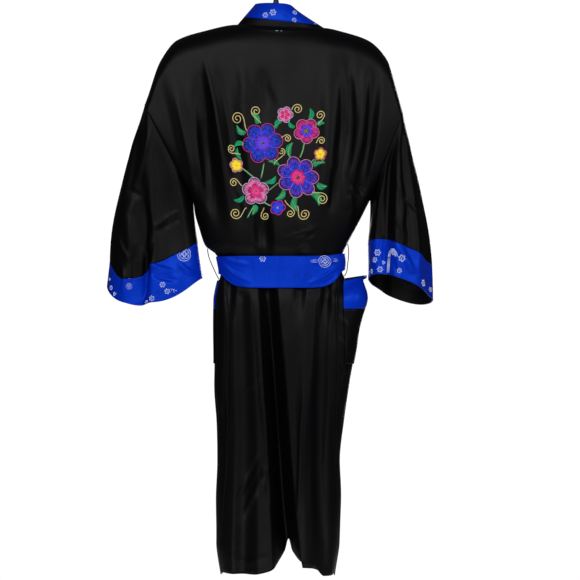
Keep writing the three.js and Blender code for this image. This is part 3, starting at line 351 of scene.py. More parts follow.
CUFF_CREASES = {
    "left": [
        (8, -5.4, [(146, 261), (156, 267), (174, 272)]),
        (8, 4.6, [(148, 270), (160, 277), (178, 281)]),
        (7, -4, [(122, 266), (124, 280), (122, 294)]),
        (8, -4.4, [(178, 262), (186, 270), (196, 274)]),
        (6, 2.6, [(137, 262), (135, 284), (133, 302)]),
    ],
    "right": [
        (6, 5, [(384, 236), (384, 258), (385, 280)]),
        (10, -5, [(398, 244), (406, 258), (414, 274)]),
        (7, 3.6, [(392, 250), (394, 264), (398, 276)]),
    ],
}
BELT_CREASES = [
    (6, -3.8, [(220, 262), (234, 274), (252, 283)]),
    (7, 3.2, [(220, 272), (231, 282), (244, 287)]),
    (6, -2.8, [(220, 256), (232, 261), (250, 265)]),
    (6, -3.6, [(308, 284), (322, 277), (336, 268)]),
    (7, 2.6, [(316, 287), (328, 282), (337, 275)]),
    (6, -2.6, [(312, 262), (326, 263), (338, 260)]),
    (4, -1.2, [(278, 253), (278, 270), (278, 290)]),
    (5, 0.9, [(282, 253), (282, 270), (282, 290)]),
    (13, 1.2, [(248, 256), (251, 270), (252, 286)]),
    (14, -1.2, [(300, 256), (303, 270), (302, 286)]),
]
BELT_END_CREASES = [
    (7, -2, [(-20, -680), (-24, -760), (-30, -900)]),
    (7, 1.8, [(0, -690), (-4, -780), (-12, -960)]),
    (7, -2, [(48, -690), (52, -780), (56, -900)]),
    (7, 1.8, [(34, -690), (36, -790), (40, -940)]),
]

# The woven ornaments of the blue cloth where the view from behind shows them, by piece: kind, column,
# row, width and turn in degrees. Twigs are dark.
WOVEN_MARKS = {
    "collar_cloth": [
        ("blossom", 273.4, 12.2, 14, 10), ("blossom", 265.7, 15.2, 12, 0), ("blossom", 294.8, 12.2, 10, 20),
        ("blossom", 293.4, 19.6, 10, 5), ("bud", 315.5, 25, 8, 40), ("twig", 257, 13, 15, 70),
        ("twig", 284, 16, 16, -30),
    ],
    "cuff_left_cloth": [
        ("medallion", 184, 254.5, 30, 0), ("blossom", 161.7, 284.7, 12, 0),
        ("blossom", 167.5, 291.3, 12, 15), ("blossom", 151, 298.2, 12, 25), ("blossom", 146, 302.5, 11, 0),
        ("sprig", 173.5, 289.5, 15, 30), ("medallion", 129.5, 286, 13, 0), ("bud", 109.5, 279.5, 7, 0),
        ("blossom", 111, 288, 10, 0), ("bud", 114, 294, 8, 0), ("twig", 158, 293, 17, 20),
        ("twig", 178, 270, 20, -35), ("twig", 122, 296, 16, 60),
    ],
    "cuff_right_cloth": [
        ("blossom", 377.3, 252.6, 14, 0), ("blossom", 374.7, 259.9, 12, 12),
        ("blossom", 393.3, 251.6, 15, 0), ("blossom", 401.6, 258.3, 15, 24),
        ("blossom", 379.6, 269.2, 13, 6), ("blossom", 371.6, 271.6, 10, 0), ("bud", 384, 262.6, 8, 0),
        ("blossom", 399.6, 270.6, 11, 18), ("blossom", 423.6, 282.6, 15, 0),
        ("blossom", 430.6, 289.6, 11, 10), ("arch", 392, 263.6, 34, 0), ("twig", 409, 270, 24, 35),
        ("twig", 387, 246, 14, 60),
    ],
    "belt_cloth": [
        ("blossom", 263.3, 259, 14, 0), ("medallion", 325, 261, 27, 0), ("bars", 314, 261, 19, 180),
        ("bars", 336, 260, 14, 0), ("twig", 237, 258.5, 17, 40), ("twig", 296, 276, 22, -20),
    ],
}
# The same ornaments charted over the blue pieces that the view from behind doesn't show.
CHART = [
    ("blossom", 0, 0, 14), ("blossom", 13, 9, 12), ("twig", 26, 0, 20), ("bud", -9, 14, 7),
    ("medallion", 46, 44, 26), ("blossom", 18, 42, 13), ("twig", -4, 38, 18), ("blossom", 60, 12, 14),
    ("blossom", 8, 52, 12), ("bud", 70, 26, 7), ("twig", 72, 52, 16),
]
CHART_STEP = (92, 74)
CHART_START = (-30, 6)
CHART_SHIFT = 37  # of every other row

# A thread: its height as a share of its width and at most, its depth in the cloth, and its ends' share.
THREAD = {"rise": 0.55, "highest": 0.8, "sunk": 0.15, "ends": 0.45}

# Lamps: name, place and size in metres, watts. All point at AIM.
LAMPS = [
    ("key", (-0.3, -1.7, 0.2), 1.1, 20),
    ("right fill", (1.6, -1.9, 0.1), 0.9, 18),
    ("low fill", (-0.1, -0.9, -1.56), 0.5, 4.0),
    ("front side", (0.4, 2.6, -0.4), 1.6, 60),
]
AIM = (0, 0, -0.7)
ROOM_LIGHT = 0.06
BACKDROP_LIGHT = 1.05
FLOOR_SIZE = 2.8
FLOOR_HEIGHT = -1.62

LEFT_RIGHT = ("left", "right")
PAIRED_BLUE = ("front_band", "cuff", "pocket_band", "belt_end")
BLUE_PIECES = [f"{name}_{side}_cloth" for name in PAIRED_BLUE for side in LEFT_RIGHT]
BLUE_PIECES += ["collar_cloth", "belt_cloth"]


def mix(a, b, t):
    return a + (b - a) * t


def ease(t):
    t = np.clip(t, 0, 1)
    return t * t * (3 - 2 * t)


def signed_power(value, power):
    return np.sign(value) * np.abs(value) ** power


def close_at_ends(t):
    """Shares from 0 to 1, spaced closer at both ends."""
    return 0.5 - 0.5 * np.cos(np.pi * t)


def hermite(t, start, stop, leave, arrive):
    """A curve from start to stop that leaves and arrives in the given ways."""
    ends = start * (2 * t**3 - 3 * t**2 + 1) + stop * (3 * t**2 - 2 * t**3)
    return ends + leave * (t**3 - 2 * t**2 + t) + arrive * (t**3 - t**2)


def polar(middle, reach, angle):
    return np.stack([middle[0] + reach * np.cos(angle), middle[1] + reach * np.sin(angle)], -1)


def through(at, to):
    """A smooth curve through points that never swings past them."""
    at, to = np.array(at, float), np.array(to, float)
    if at[0] > at[-1]:
        at, to = at[::-1], to[::-1]
    slope = np.diff(to) / np.diff(at)
    tangent = np.empty_like(to)
    tangent[0], tangent[-1] = slope[0], slope[-1]
    same_way = slope[:-1] * slope[1:] > 0
    both = np.where(same_way, slope[:-1] + slope[1:], 1)
    tangent[1:-1] = np.where(same_way, 2 * slope[:-1] * slope[1:] / both, 0)

    def value(x):
        x = np.asarray(x, float)
        i = np.clip(np.searchsorted(at, x, side="right") - 1, 0, len(at) - 2)
        step = at[i + 1] - at[i]
        t = np.clip((x - at[i]) / step, 0, 1)
        return hermite(t, to[i], to[i + 1], step * tangent[i], step * tangent[i + 1])

    return value


PLAN = {
    name: through([row[0] for row in BODY], [row[k + 1] for row in BODY])
    for k, name in enumerate(PLAN_COLUMNS)
}
shoulder_line = through(*zip(*SHOULDER))
front_edge = {side: through(*zip(*rows)) for side, rows in FRONT_EDGE.items()}
hem_rise = through(*zip(*HEM_RISE))
armhole_edge = through(ARMHOLE_SHARES, [(1 - share**2.5) ** 0.4 for share in ARMHOLE_SHARES])


def fold_depth(folds, x, z):
    """Depth of the hanging folds at one place. The belt presses the ridges flat."""
    belted = np.exp(-(((z - BELT_MIDDLE) / BELT_PRESS) ** 2))
    depth = np.zeros(np.broadcast(x, z).shape)
    for z0, z1, x0, xm, x1, w0, w1, d0, dm, d1 in folds:
        t = (z - z0) / (z1 - z0)
        half = mix(w0, w1, np.clip(t, 0, 1))
        centre = np.where(t < 0.5, mix(x0, xm, t * 2), mix(xm, x1, t * 2 - 1))
        off = (x - centre) / half
        deep = np.where(t < 0.5, mix(d0, dm, ease(t * 2)), mix(dm, d1, ease(t * 2 - 1)))
        deep = np.where(deep < 0, deep * (1 - belted), deep) * ease(t * abs(z1 - z0) / FOLD_START)
        depth += np.where((t > 0) & (np.abs(off) < 1), deep * (1 - off**2) ** 2, 0)
    return depth


def shoulder_height(x, side):
    if side == "left":
        return shoulder_line(np.minimum(x, NECK["left"]))
    if side == "right":
        return shoulder_line(np.maximum(x, NECK["right"]))
    across = np.clip((x - NECK["left"]) / (NECK["right"] - NECK["left"]), 0, 1)
    return shoulder_line(x) - NECK_DIP * np.abs(np.sin(np.pi * across)) ** 0.6


def neck_depth(x):
    off = np.clip(2 * (x - NECK["left"]) / (NECK["right"] - NECK["left"]) - 1, -1, 1)
    return NECK_DEPTH * np.sqrt(1 - off**2)


def roof(drop):
    return np.sqrt(1 - (1 - np.clip(drop / ROOF, 0, 1)) ** 2)


def armhole_x(side, share):
    """Where the row at this share of the upper body meets the armhole seam."""
    (top_x, top_z), (under_x, under_z) = ARMHOLE[side]
    low, high = np.zeros(np.shape(share)), np.ones(np.shape(share))
    for _ in range(40):
        t = (low + high) / 2
        below = mix(shoulder_line(mix(top_x, under_x, t)), UNDERARM, share) < mix(top_z, under_z, t)
        low, high = np.where(below, t, low), np.where(below, high, t)
    return mix(top_x, under_x, low)


def upper_point(face, side, share, x):
    """Points of the body above the underarm, on the back (face -1) or a front (face 1)."""
    left, right = armhole_x("left", share), armhole_x("right", share)
    over = shoulder_height(x, side)
    z = mix(over, UNDERARM, share)
    off = np.clip(2 * (x - left) / (right - left) - 1, -1, 1)
    edge = armhole_edge(share)
    rounded = (1 - np.abs(off) ** CORNER) ** (1 / CORNER)
    full = float(PLAN["back" if face < 0 else "front"](UNDERARM))
    start = neck_depth(x) if face < 0 else 0
    drop = over - z
    depth = start + (full - start) * roof(drop) * (edge + (1 - edge) * rounded)
    depth = depth - fold_depth(BACK_FOLDS if face < 0 else FRONT_FOLDS, x, z) * roof(drop / 2)
    return np.stack(np.broadcast_arrays(x, face * depth, z), -1)


def lower_point(angle, z):
    """Points of the body below the underarm, at an angle round its plan and a height."""
    left, right = PLAN["left"](z), PLAN["right"](z)
    c, s = np.cos(angle), np.sin(angle)
    x = (left + right) / 2 + (right - left) / 2 * signed_power(c, 2 / CORNER)
    reach = np.where(s < 0, PLAN["back"](z), PLAN["front"](z)) * np.abs(s) ** (2 / CORNER)
    fold = np.where(s < 0, fold_depth(BACK_FOLDS, x, z), fold_depth(FRONT_FOLDS, x, z))
    return np.stack(np.broadcast_arrays(x, np.sign(s) * (reach - fold), z), -1)


def angle_at(share):
    return np.arccos(np.clip(signed_power(share, CORNER / 2), -1, 1))


def seam_angle(side, z):
    if side == "left":
        return np.pi + angle_at(PLAN["seam_left"](z))
    return 2 * np.pi - angle_at(PLAN["seam_right"](z))


def front_angle(x, z):
    left, right = PLAN["left"](z), PLAN["right"](z)
    return angle_at(np.clip((2 * x - left - right) / (right - left), -1, 1))


# Rows of the body: shares from the shoulder to the underarm, then heights down to the hem.
UPPER = close_at_ends(np.linspace(0, 1, UPPER_ROWS))
LOWER = np.linspace(UNDERARM, HEM, LOWER_ROWS + 1)[1:]


def back_lines():
    t = np.linspace(0, 1, FINE + 1)
    share, z = UPPER[:, None], LOWER[:, None]
    x = mix(armhole_x("left", share), armhole_x("right", share), close_at_ends(t))
    upper = upper_point(-1, "back", share, x)
    lower = lower_point(mix(seam_angle("left", z), seam_angle("right", z), t), z)
    return np.concatenate([upper, lower])


def lapped(x, z):
    """How far a place on the under front is covered by the over front, from 0 to 1."""
    return ease((front_edge["left"](z) + BAND_WIDTH + LAP_MARGIN - x) / LAP_EASE)


def tuck(line):
    """The under front lies behind the over front where that covers it."""
    x, z = line[..., 0], line[..., 2]
    covered = lapped(x, z) * ease((LAP_TOP - z) / LAP_RUN)
    steps = np.arange(line.shape[1])
    along = line[:, np.minimum(steps + 2, steps[-1])] - line[:, np.maximum(steps - 2, 0)]
    inward = np.stack([-along[..., 1], along[..., 0], np.zeros_like(x)], -1)
    inward /= np.linalg.norm(inward, axis=-1, keepdims=True)
    inward *= np.where(inward[..., 1:2] > 0, -1, 1)
    return line + inward * (LAP * covered)[..., None]


def front_lines(side, share=UPPER, z=LOWER):
    """Lines of a front from its side to its band's free edge, split at the band's seam."""
    slant = BAND_WIDTH if side == "left" else -BAND_WIDTH
    t, u = np.arange(FINE) / FINE, np.arange(BAND_FINE + 1) / BAND_FINE
    share, z = np.asarray(share)[:, None], np.asarray(z)[:, None]
    seam = front_edge[side](mix(shoulder_height(NECK[side], side), UNDERARM, share))
    across = mix(armhole_x(side, share), seam, 1 - np.cos(np.pi / 2 * t))
    parts = [upper_point(1, side, share, np.concatenate([across, seam + slant * u], 1))]
    if len(z):
        seam = front_edge[side](z)
        start = seam_angle(side, z) - (0 if side == "left" else 2 * np.pi)
        turn = mix(start, front_angle(seam, z), t)
        parts.append(lower_point(np.concatenate([turn, front_angle(seam + slant * u, z)], 1), z))
    line = np.concatenate(parts)
    line = tuck(line) if side == "right" else line
    return line[:, : FINE + 1], line[:, FINE:]


def evenly(line, count, keep_back=(0, 0)):
    """Points spaced evenly along each row of a set of lines."""
    step = np.linalg.norm(np.diff(line, axis=1), axis=2)
    run = np.concatenate([np.zeros((len(line), 1)), np.cumsum(step, axis=1)], axis=1)
    spaced = np.empty((len(line), count + 1, 3))
    for i, (row, along) in enumerate(zip(line, run)):
        at = np.linspace(keep_back[0], along[-1] - keep_back[1], count + 1)
        for k in range(3):
            spaced[i, :, k] = np.interp(at, along, row[:, k])
    return spaced


def back_out(points):
    return np.array((0, -1.0, 0))


def front_out(points):
    return np.array((0, 1.0, 0))


def round_middle(points):
    """Outwards from the body's middle, for pieces that go round it."""
    return (points - (10, 0, 0)) * (1, 1, 0)


def grid_normals(grid, outward, closed=False):
    """Unit normals of a grid of points, on the side that outward points to."""
    if closed:
        along = np.roll(grid, -1, axis=1) - np.roll(grid, 1, axis=1)
    else:
        along = np.gradient(grid, axis=1)
    normal = np.cross(np.gradient(grid, axis=0), along)
    normal /= np.linalg.norm(normal, axis=-1, keepdims=True) + 1e-9
    return normal if np.sum(normal * outward(grid)) > 0 else -normal


def creases(x, z, rows):
    """Depth of soft creases laid along given paths, at places x, z. A row holds half width, depth and a
    path.
    """
    depth = np.zeros(np.shape(x))
    for half, deep, path in rows:
        path = np.array(path, float)
        runs = np.linalg.norm(np.diff(path, axis=0), axis=1)
        nearest, place, run = np.full(np.shape(x), 1e9), np.zeros(np.shape(x)), 0.0
        for start, end, length in zip(path[:-1], path[1:], runs):
            way = end - start
            t = np.clip(((x - start[0]) * way[0] + (z - start[1]) * way[1]) / length**2, 0, 1)
            off = np.hypot(x - start[0] - t * way[0], z - start[1] - t * way[1])
            place = np.where(off < nearest, (run + t * length) / runs.sum(), place)
            nearest = np.minimum(off, nearest)
            run += length
        swell = np.sin(np.pi * np.clip(place, 0, 1)) ** 0.7
        depth += np.where(nearest < half, deep * swell * (1 - (nearest / half) ** 2) ** 2, 0)
    return depth


def as_seen(points):
    """Columns and rows of the view from behind for places on the robe."""
    near = CAMERA[1] / (CAMERA[1] - points[..., 1])
    x = CAMERA[0] + (points[..., 0] - CAMERA[0]) * near
    z = CAMERA[2] + (points[..., 2] - CAMERA[2]) * near
    return VIEW["column"] + x / VIEW["pitch"], VIEW["row"] - z / VIEW["pitch"]


def uneven(points):
    """Slight waviness that all the cloth has."""
    x, y, z = points[..., 0], points[..., 1], points[..., 2]
    slow = np.sin(x / 31 + z / 73 + y / 40) * np.sin(z / 52 - x / 90 + 1)
    quick = np.sin(x / 14 - z / 41 + y / 22 + 2) * np.sin(z / 37 + x / 60)
    return SLOW_WAVE * slow + QUICK_WAVE * quick


def press(grid, outward, back_rows, front_rows, closed=False, keep=1.0):
    """Presses creases into a grid, some where it faces back and others where it faces the front."""
    normals = grid_normals(grid, outward, closed)
    column, row = as_seen(grid)
    scaled = [(half / VIEW["pitch"], deep, path) for half, deep, path in back_rows]
    depth = creases(column, row, scaled) * ease(-FACING * normals[..., 1])
    depth += creases(grid[..., 0], grid[..., 2], front_rows) * ease(FACING * normals[..., 1])
    return grid - normals * ((depth + uneven(grid)) * keep)[..., None]


def lengths(grid, axis):
    """Running length of cloth along rows (axis 1) or down columns (axis 0)."""
    step = np.linalg.norm(np.diff(grid, axis=axis), axis=-1)
    run = np.cumsum(step, axis=axis)
    start = np.zeros_like(run[:, :1] if axis == 1 else run[:1])
    return np.concatenate([start, run], axis=axis)


SURFACES = {}  # each piece of cloth's face, for what is sewn on it
SHEETS = {}  # each piece of cloth with its cut size and what is sewn on it


def read(elements, what, width=3, kind=float):
    values = np.empty(len(elements) * width, kind)
    elements.foreach_get(what, values)
    return values.reshape(-1, width)


def cloth(name, grid, outward, slot, inner=None, thick=WALL, closed=False):
    """A piece of cloth: a flat grid set to its place point by point, then given its thickness."""
    outer, usual_inner = {"satin": (satin, lining), "brocade": (brocade, facing_black)}[slot]
    normals = grid_normals(grid, outward, closed)
    if closed:
        grid = np.concatenate([grid, grid[:, :1]], axis=1)
        normals = np.concatenate([normals, normals[:, :1]], axis=1)
    rows, columns = grid.shape[:2]
    u = lengths(grid, 1)
    u = u - u[:, columns // 2 : columns // 2 + 1]
    v = lengths(grid, 0)
    v = np.broadcast_to(v[:, columns // 2 : columns // 2 + 1], v.shape)
    SURFACES[name] = {"grid": grid, "normals": normals, "u": u, "v": v[:, 0], "closed": closed}
    bpy.ops.object.select_all(action="DESELECT")
    bpy.ops.mesh.primitive_grid_add(x_subdivisions=columns - 1, y_subdivisions=rows - 1, size=1)
    piece = bpy.context.object
    piece.name = piece.data.name = name
    mesh = piece.data
    flat = read(mesh.vertices, "co")
    column = np.rint((flat[:, 0] + 0.5) * (columns - 1)).astype(int)
    row = np.rint((0.5 - flat[:, 1]) * (rows - 1)).astype(int)
    mesh.vertices.foreach_set("co", (grid[row, column] * MM).ravel())
    corner = read(mesh.loops, "vertex_index", 1, np.int32)[:, 0]
    places = np.stack([u[row, column], -v[row, column]], -1)[corner] * MM
    mesh.uv_layers[0].data.foreach_set("uv", places.ravel())
    mesh.update()
    if np.sum(read(mesh.polygons, "normal") * outward(read(mesh.polygons, "center") / MM)) < 0:
        mesh.flip_normals()
    if closed:
        bpy.ops.object.mode_set(mode="EDIT")
        bpy.ops.mesh.select_all(action="SELECT")
        bpy.ops.mesh.remove_doubles(threshold=1e-5)
        bpy.ops.object.mode_set(mode="OBJECT")
    for material in (outer, inner or usual_inner):
        mesh.materials.append(material)
    if thick:
        wall = piece.modifiers.new("wall", "SOLIDIFY")
        wall.thickness = thick * MM
        wall.offset = -1
        wall.material_offset = 1
        bpy.ops.object.modifier_apply(modifier=wall.name)
    mesh.shade_smooth()
    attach(piece, "root")
    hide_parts(name.rsplit("_", 1)[0])
    across, down = grid[1:, 1:] - grid[:-1, :-1], grid[1:, :-1] - grid[:-1, 1:]
    area = np.linalg.norm(np.cross(across, down), axis=-1).sum() / 2
    width, length = lengths(grid, 1)[:, -1].max(), lengths(grid, 0)[-1].max()
    SHEETS[name] = {"piece": piece, "width": width, "length": length, "area": area, "sewn_on": []}


def nearest_step(name, column, row):
    """The row and column of a piece's grid that the view from behind shows at a spot."""
    face = SURFACES[name]
    columns, rows = as_seen(face["grid"])
    off = np.hypot(columns - column, rows - row) + np.where(face["normals"][..., 1] < SEEN, 0, 1e6)
    return np.unravel_index(np.argmin(off), off.shape)


def steps_about(name, at, points):
    """Grid steps for points in mm right and down from one step, as seen from outside the cloth."""
    face = SURFACES[name]
    i, j = at
    i0, i1 = max(i - 1, 0), min(i + 1, len(face["v"]) - 1)
    j0, j1 = max(j - 1, 0), min(j + 1, face["u"].shape[1] - 1)
    down = (face["grid"][i1, j] - face["grid"][i0, j]) / (i1 - i0)
    across = (face["grid"][i, j1] - face["grid"][i, j0]) / (j1 - j0)
    normal = face["normals"][i, j]
    right = np.cross(normal, (0, 0, -1.0))
    right /= np.linalg.norm(right)
    low = np.cross(right, normal)
    low *= 1 if low @ down > 0 else -1
    axes = np.array([[down @ low, across @ low], [down @ right, across @ right]])
    offsets = np.linalg.solve(axes, np.asarray(points, float)[:, ::-1].T).T
    return offsets + (i, j)


def steps_along(name, points):
    """Grid steps for points in lengths along and down a piece's cloth."""
    face = SURFACES[name]
    rows = np.interp(points[:, 1], face["v"], np.arange(len(face["v"])))
    low = np.minimum(rows.astype(int), len(face["v"]) - 2)
    run = mix(face["u"][low], face["u"][low + 1], (rows - low)[:, None])
    steps = np.arange(run.shape[1])
    columns = np.array([np.interp(u, row, steps) for u, row in zip(points[:, 0], run)])
    return np.stack([rows, columns], -1)


def laid(name, steps):
    """Places and normals on a piece's cloth at grid steps."""
    face = SURFACES[name]
    rows, columns = steps[:, 0], steps[:, 1]
    if face["closed"]:
        columns = columns % (face["u"].shape[1] - 1)
    i = np.clip(rows.astype(int), 0, len(face["v"]) - 2)
    j = np.clip(columns.astype(int), 0, face["u"].shape[1] - 2)
    part, share = (rows - i)[:, None], (columns - j)[:, None]
    found = []
    for field in (face["grid"], face["normals"]):
        above = mix(field[i, j], field[i, j + 1], share)
        below = mix(field[i + 1, j], field[i + 1, j + 1], share)
        found.append(mix(above, below, part))
    return found[0], found[1] / np.linalg.norm(found[1], axis=1, keepdims=True)


def stretches(path, kept):
    """The stretches of a path whose points are kept, of three points or more."""
    cuts = np.flatnonzero(np.diff(kept.astype(int))) + 1
    parts = zip(np.split(path, cuts), np.split(kept, cuts))
    return [part for part, inside in parts if inside[0] and len(part) > 2]


def on_cloth(name, steps, edge):
    """The stretches of a path that are on the piece, from a share of a step inside its ends."""
    face = SURFACES[name]
    held = (steps[:, 0] >= edge) & (steps[:, 0] <= len(face["v"]) - 1 - edge)
    if not face["closed"]:
        held &= (steps[:, 1] >= 0.1) & (steps[:, 1] <= face["u"].shape[1] - 1.1)
    return stretches(steps, held)


def strands(name, runs, material, edge=0.1):
    """Threads laid on cloth, each a closed strand of three sides.

    A run holds the cloth's name, grid steps and the thread's width."""
    points, faces, parts = [], [], []
    for carrier, steps, width in runs:
        parts += [(carrier, part, width) for part in on_cloth(carrier, np.asarray(steps), edge)]
    for carrier, steps, width in parts:
        middle, normal = laid(carrier, steps)
        along = np.gradient(middle, axis=0)
        side = np.cross(along, normal)
        side /= np.linalg.norm(side, axis=1, keepdims=True) + 1e-9
        taper = np.ones(len(middle))
        taper[[0, -1]] = THREAD["ends"]
        half = (taper * width / 2)[:, None]
        high = (taper * min(THREAD["rise"] * width, THREAD["highest"]))[:, None]
        sunk = middle - normal * THREAD["sunk"]
        ring = np.stack([sunk + side * half, middle + normal * high, sunk - side * half], 1)
        first = len(points)
        points.extend(ring.reshape(-1, 3))
        for i in range(first, first + 3 * (len(middle) - 1), 3):
            faces.extend([(i + a, i + a + 3, i + b + 3, i + b) for a, b in ((0, 1), (1, 2), (2, 0))])
        last = first + 3 * (len(middle) - 1)
        faces.extend([(first, first + 1, first + 2), (last + 2, last + 1, last)])
    mesh = bpy.data.meshes.new(name)
    mesh.from_pydata([tuple(p * MM) for p in points], [], faces)
    mesh.materials.append(material)
    piece = bpy.data.objects.new(name, mesh)
    bpy.context.collection.objects.link(piece)
    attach(piece, "root")
    SHEETS[runs[0][0]]["sewn_on"].append(piece)


def finish(name, roughness, **sockets):
    """A new finish and its tree. Sockets that are the same all over are set on the shader itself."""
    material = bpy.data.materials.new(name)
    material.use_nodes = True
    tree = material.node_tree
    surface = tree.nodes["Principled BSDF"]
    surface.inputs["Roughness"].default_value = roughness
    surface.inputs["Specular IOR Level"].default_value = 0.25
    for socket, value in sockets.items():
        surface.inputs[socket.replace("_", " ")].default_value = value
    return material, tree, surface


def node(tree, kind, links=(), **settings):
    """A node with its settings, its inputs linked or set by name or number."""
    made = tree.nodes.new("ShaderNode" + kind)
    for key, value in settings.items():
        setattr(made, key, value)
    for socket, value in dict(links).items():
        if hasattr(value, "is_linked"):
            tree.links.new(value, made.inputs[socket])
        else:
            made.inputs[socket].default_value = value
    return made


def maths(tree, operation, *values):
    return node(tree, "Math", enumerate(values), operation=operation).outputs[0]


def blend(tree, share, a, b):
    """Colour a where share is 0 and b where it is 1."""
    made = node(tree, "Mix", {"Factor": share}, data_type="RGBA")
    for socket, colour in ((made.inputs[6], a), (made.inputs[7], b)):
        if hasattr(colour, "is_linked"):
            tree.links.new(colour, socket)
        else:
            socket.default_value = (*colour, 1)
    return made.outputs[2]


def bump(tree, height, strength, distance, under=None):
    links = {"Height": height, "Strength": strength, "Distance": distance}
    if under:
        links["Normal"] = under
    return node(tree, "Bump", links).outputs[0]


def rough_cloth(tree, place, scale, detail=3.0):
    return node(tree, "TexNoise", {"Vector": place, "Scale": scale, "Detail": detail}).outputs[0]


def woven(tree, surface, place, period, strength, uneven):
    """Fine diagonal weave, with slight unevenness of the cloth under it."""
    turned = node(tree, "Mapping", {"Vector": place, "Rotation": (0, 0, 0.6)}).outputs[0]
    wave = {"Vector": turned, "Scale": 0.314 / period, "Distortion": 0.0}
    weft = node(tree, "TexWave", wave).outputs["Fac"]
    fine = bump(tree, weft, strength, 0.00006)
    tree.links.new(bump(tree, uneven, 0.4, 0.0006, fine), surface.inputs["Normal"])
    return weft


def satin_finish(name, dark, light, roughness, gloss):
    material, tree, surface = finish(name, roughness, Specular_IOR_Level=gloss)
    place = node(tree, "UVMap").outputs[0]
    broad = rough_cloth(tree, place, 9.0)
    close = rough_cloth(tree, place, 260.0, 5.0)
    weft = woven(tree, surface, place, 0.0007, 0.2, close)
    tone = blend(tree, maths(tree, "MULTIPLY_ADD", broad, 0.7), dark, light)
    tone = blend(tree, maths(tree, "MULTIPLY", weft, 0.3), tone, light)
    tree.links.new(tone, surface.inputs["Base Color"])
    varied = maths(tree, "MULTIPLY", close, 0.16)
    tree.links.new(maths(tree, "ADD", varied, roughness - 0.08), surface.inputs["Roughness"])
    return material


def blossom_mark(tree, place, size, seed):
    """Six-petalled blossom outlines scattered over the cloth, one in each cell."""
    moved = node(tree, "Mapping", {"Vector": place, "Location": (seed, seed * 0.7, 0)}).outputs[0]
    spread = {"Vector": moved, "Scale": 1 / size, "Randomness": 0.75}
    middle = node(tree, "TexVoronoi", spread, voronoi_dimensions="2D").outputs["Position"]
    off = node(tree, "VectorMath", {0: moved, 1: middle}, operation="SUBTRACT").outputs[0]
    parts = node(tree, "SeparateXYZ", {0: off})
    angle = maths(tree, "ARCTAN2", parts.outputs[1], parts.outputs[0])
    reach = node(tree, "VectorMath", {0: off}, operation="LENGTH").outputs["Value"]
    petals = maths(tree, "COSINE", maths(tree, "MULTIPLY", angle, 6.0))
    edge = maths(tree, "MULTIPLY_ADD", petals, 0.0016, 0.0068)
    ring = maths(tree, "LESS_THAN", maths(tree, "ABSOLUTE", maths(tree, "SUBTRACT", reach, edge)), 0.0009)
    eye = maths(tree, "LESS_THAN", reach, 0.0016)
    return maths(tree, "MAXIMUM", ring, eye)


def brocade_finish(name, scattered):
    """Blue satin with a darker woven ground of twigs, and blossoms where the lining shows."""
    material, tree, surface = finish(name, 0.4, Specular_IOR_Level=1.0, Specular_Tint=SHEEN)
    place = node(tree, "UVMap").outputs[0]
    broad, close = rough_cloth(tree, place, 14.0), rough_cloth(tree, place, 240.0, 4.0)
    weft = woven(tree, surface, place, 0.0006, 0.25, close)
    winding = rough_cloth(tree, place, 38.0, 1.0)
    line = maths(tree, "LESS_THAN", maths(tree, "ABSOLUTE", maths(tree, "SUBTRACT", winding, 0.5)), 0.014)
    patch = maths(tree, "GREATER_THAN", broad, 0.52)
    ground = blend(tree, maths(tree, "MULTIPLY", maths(tree, "MULTIPLY", line, patch), 0.55), BLUE, NAVY)
    tone = blend(tree, maths(tree, "MULTIPLY", weft, 0.18), ground, BLUE_LIGHT)
    if scattered:
        marks = [blossom_mark(tree, place, 0.062, seed) for seed in (0.0, 0.31)]
        tone = blend(tree, maths(tree, "MAXIMUM", *marks), tone, SILVER)
    tree.links.new(tone, surface.inputs["Base Color"])
    varied = maths(tree, "MULTIPLY", close, 0.14)
    tree.links.new(maths(tree, "ADD", varied, 0.35), surface.inputs["Roughness"])
    return material


def plain_finish(name, dark, light, roughness, scale, raised, **sockets):
    """Moulded plastic, twisted thread or embroidery floss, read at the object's own coordinates."""
    material, tree, surface = finish(name, roughness, **sockets)
    place = node(tree, "TexCoord").outputs["Object"]
    grain = rough_cloth(tree, place, scale, 4.0)
    tree.links.new(blend(tree, grain, dark, light), surface.inputs["Base Color"])
    tree.links.new(maths(tree, "MULTIPLY_ADD", grain, 0.2, roughness - 0.1), surface.inputs["Roughness"])
    tree.links.new(bump(tree, grain, 0.4, raised), surface.inputs["Normal"])
    return material


BLUE = (0.0004, 0.022, 0.46)
BLUE_LIGHT = (0.0010, 0.038, 0.58)
SHEEN = (0.03, 0.17, 1.0, 1.0)
NAVY = (0.001, 0.014, 0.26)
SILVER = (0.62, 0.68, 0.86)

satin = satin_finish("black_satin", (0.0010, 0.0010, 0.0013), (0.0019, 0.0019, 0.0026), 0.45, 0.1)
facing_black = satin_finish("black_lining", (0.0012, 0.0012, 0.0013), (0.0022, 0.0022, 0.0024), 0.5, 0.2)
brocade = brocade_finish("blue_brocade", False)
lining = brocade_finish("brocade_lining", True)
thread = plain_finish("loop_thread", (0.006, 0.006, 0.006), (0.02, 0.018, 0.017), 0.8, 2500.0, 0.0002)
silver_weft = plain_finish("silver_weft", (0.42, 0.50, 0.78), (0.80, 0.86, 1.0), 0.45, 1500.0, 0.0001)
navy_weft = plain_finish("navy_weft", (0.001, 0.012, 0.20), (0.002, 0.022, 0.32), 0.5, 1500.0, 0.0001)
seam_thread = plain_finish("seam_thread", (0.006, 0.006, 0.007), (0.014, 0.014, 0.016), 0.6, 2500.0, 0.0001)
plastic = plain_finish("hanger_plastic", (0.004, 0.004, 0.0045), (0.009, 0.009, 0.01), 0.35, 900.0, 0.00005)


def draw_up_hem(grid):
    low = np.clip((DRAWN_FROM - grid[..., 2]) / (DRAWN_FROM - HEM), 0, 1)
    grid[..., 2] += low * ease(low) * hem_rise(grid[..., 0])
    return grid


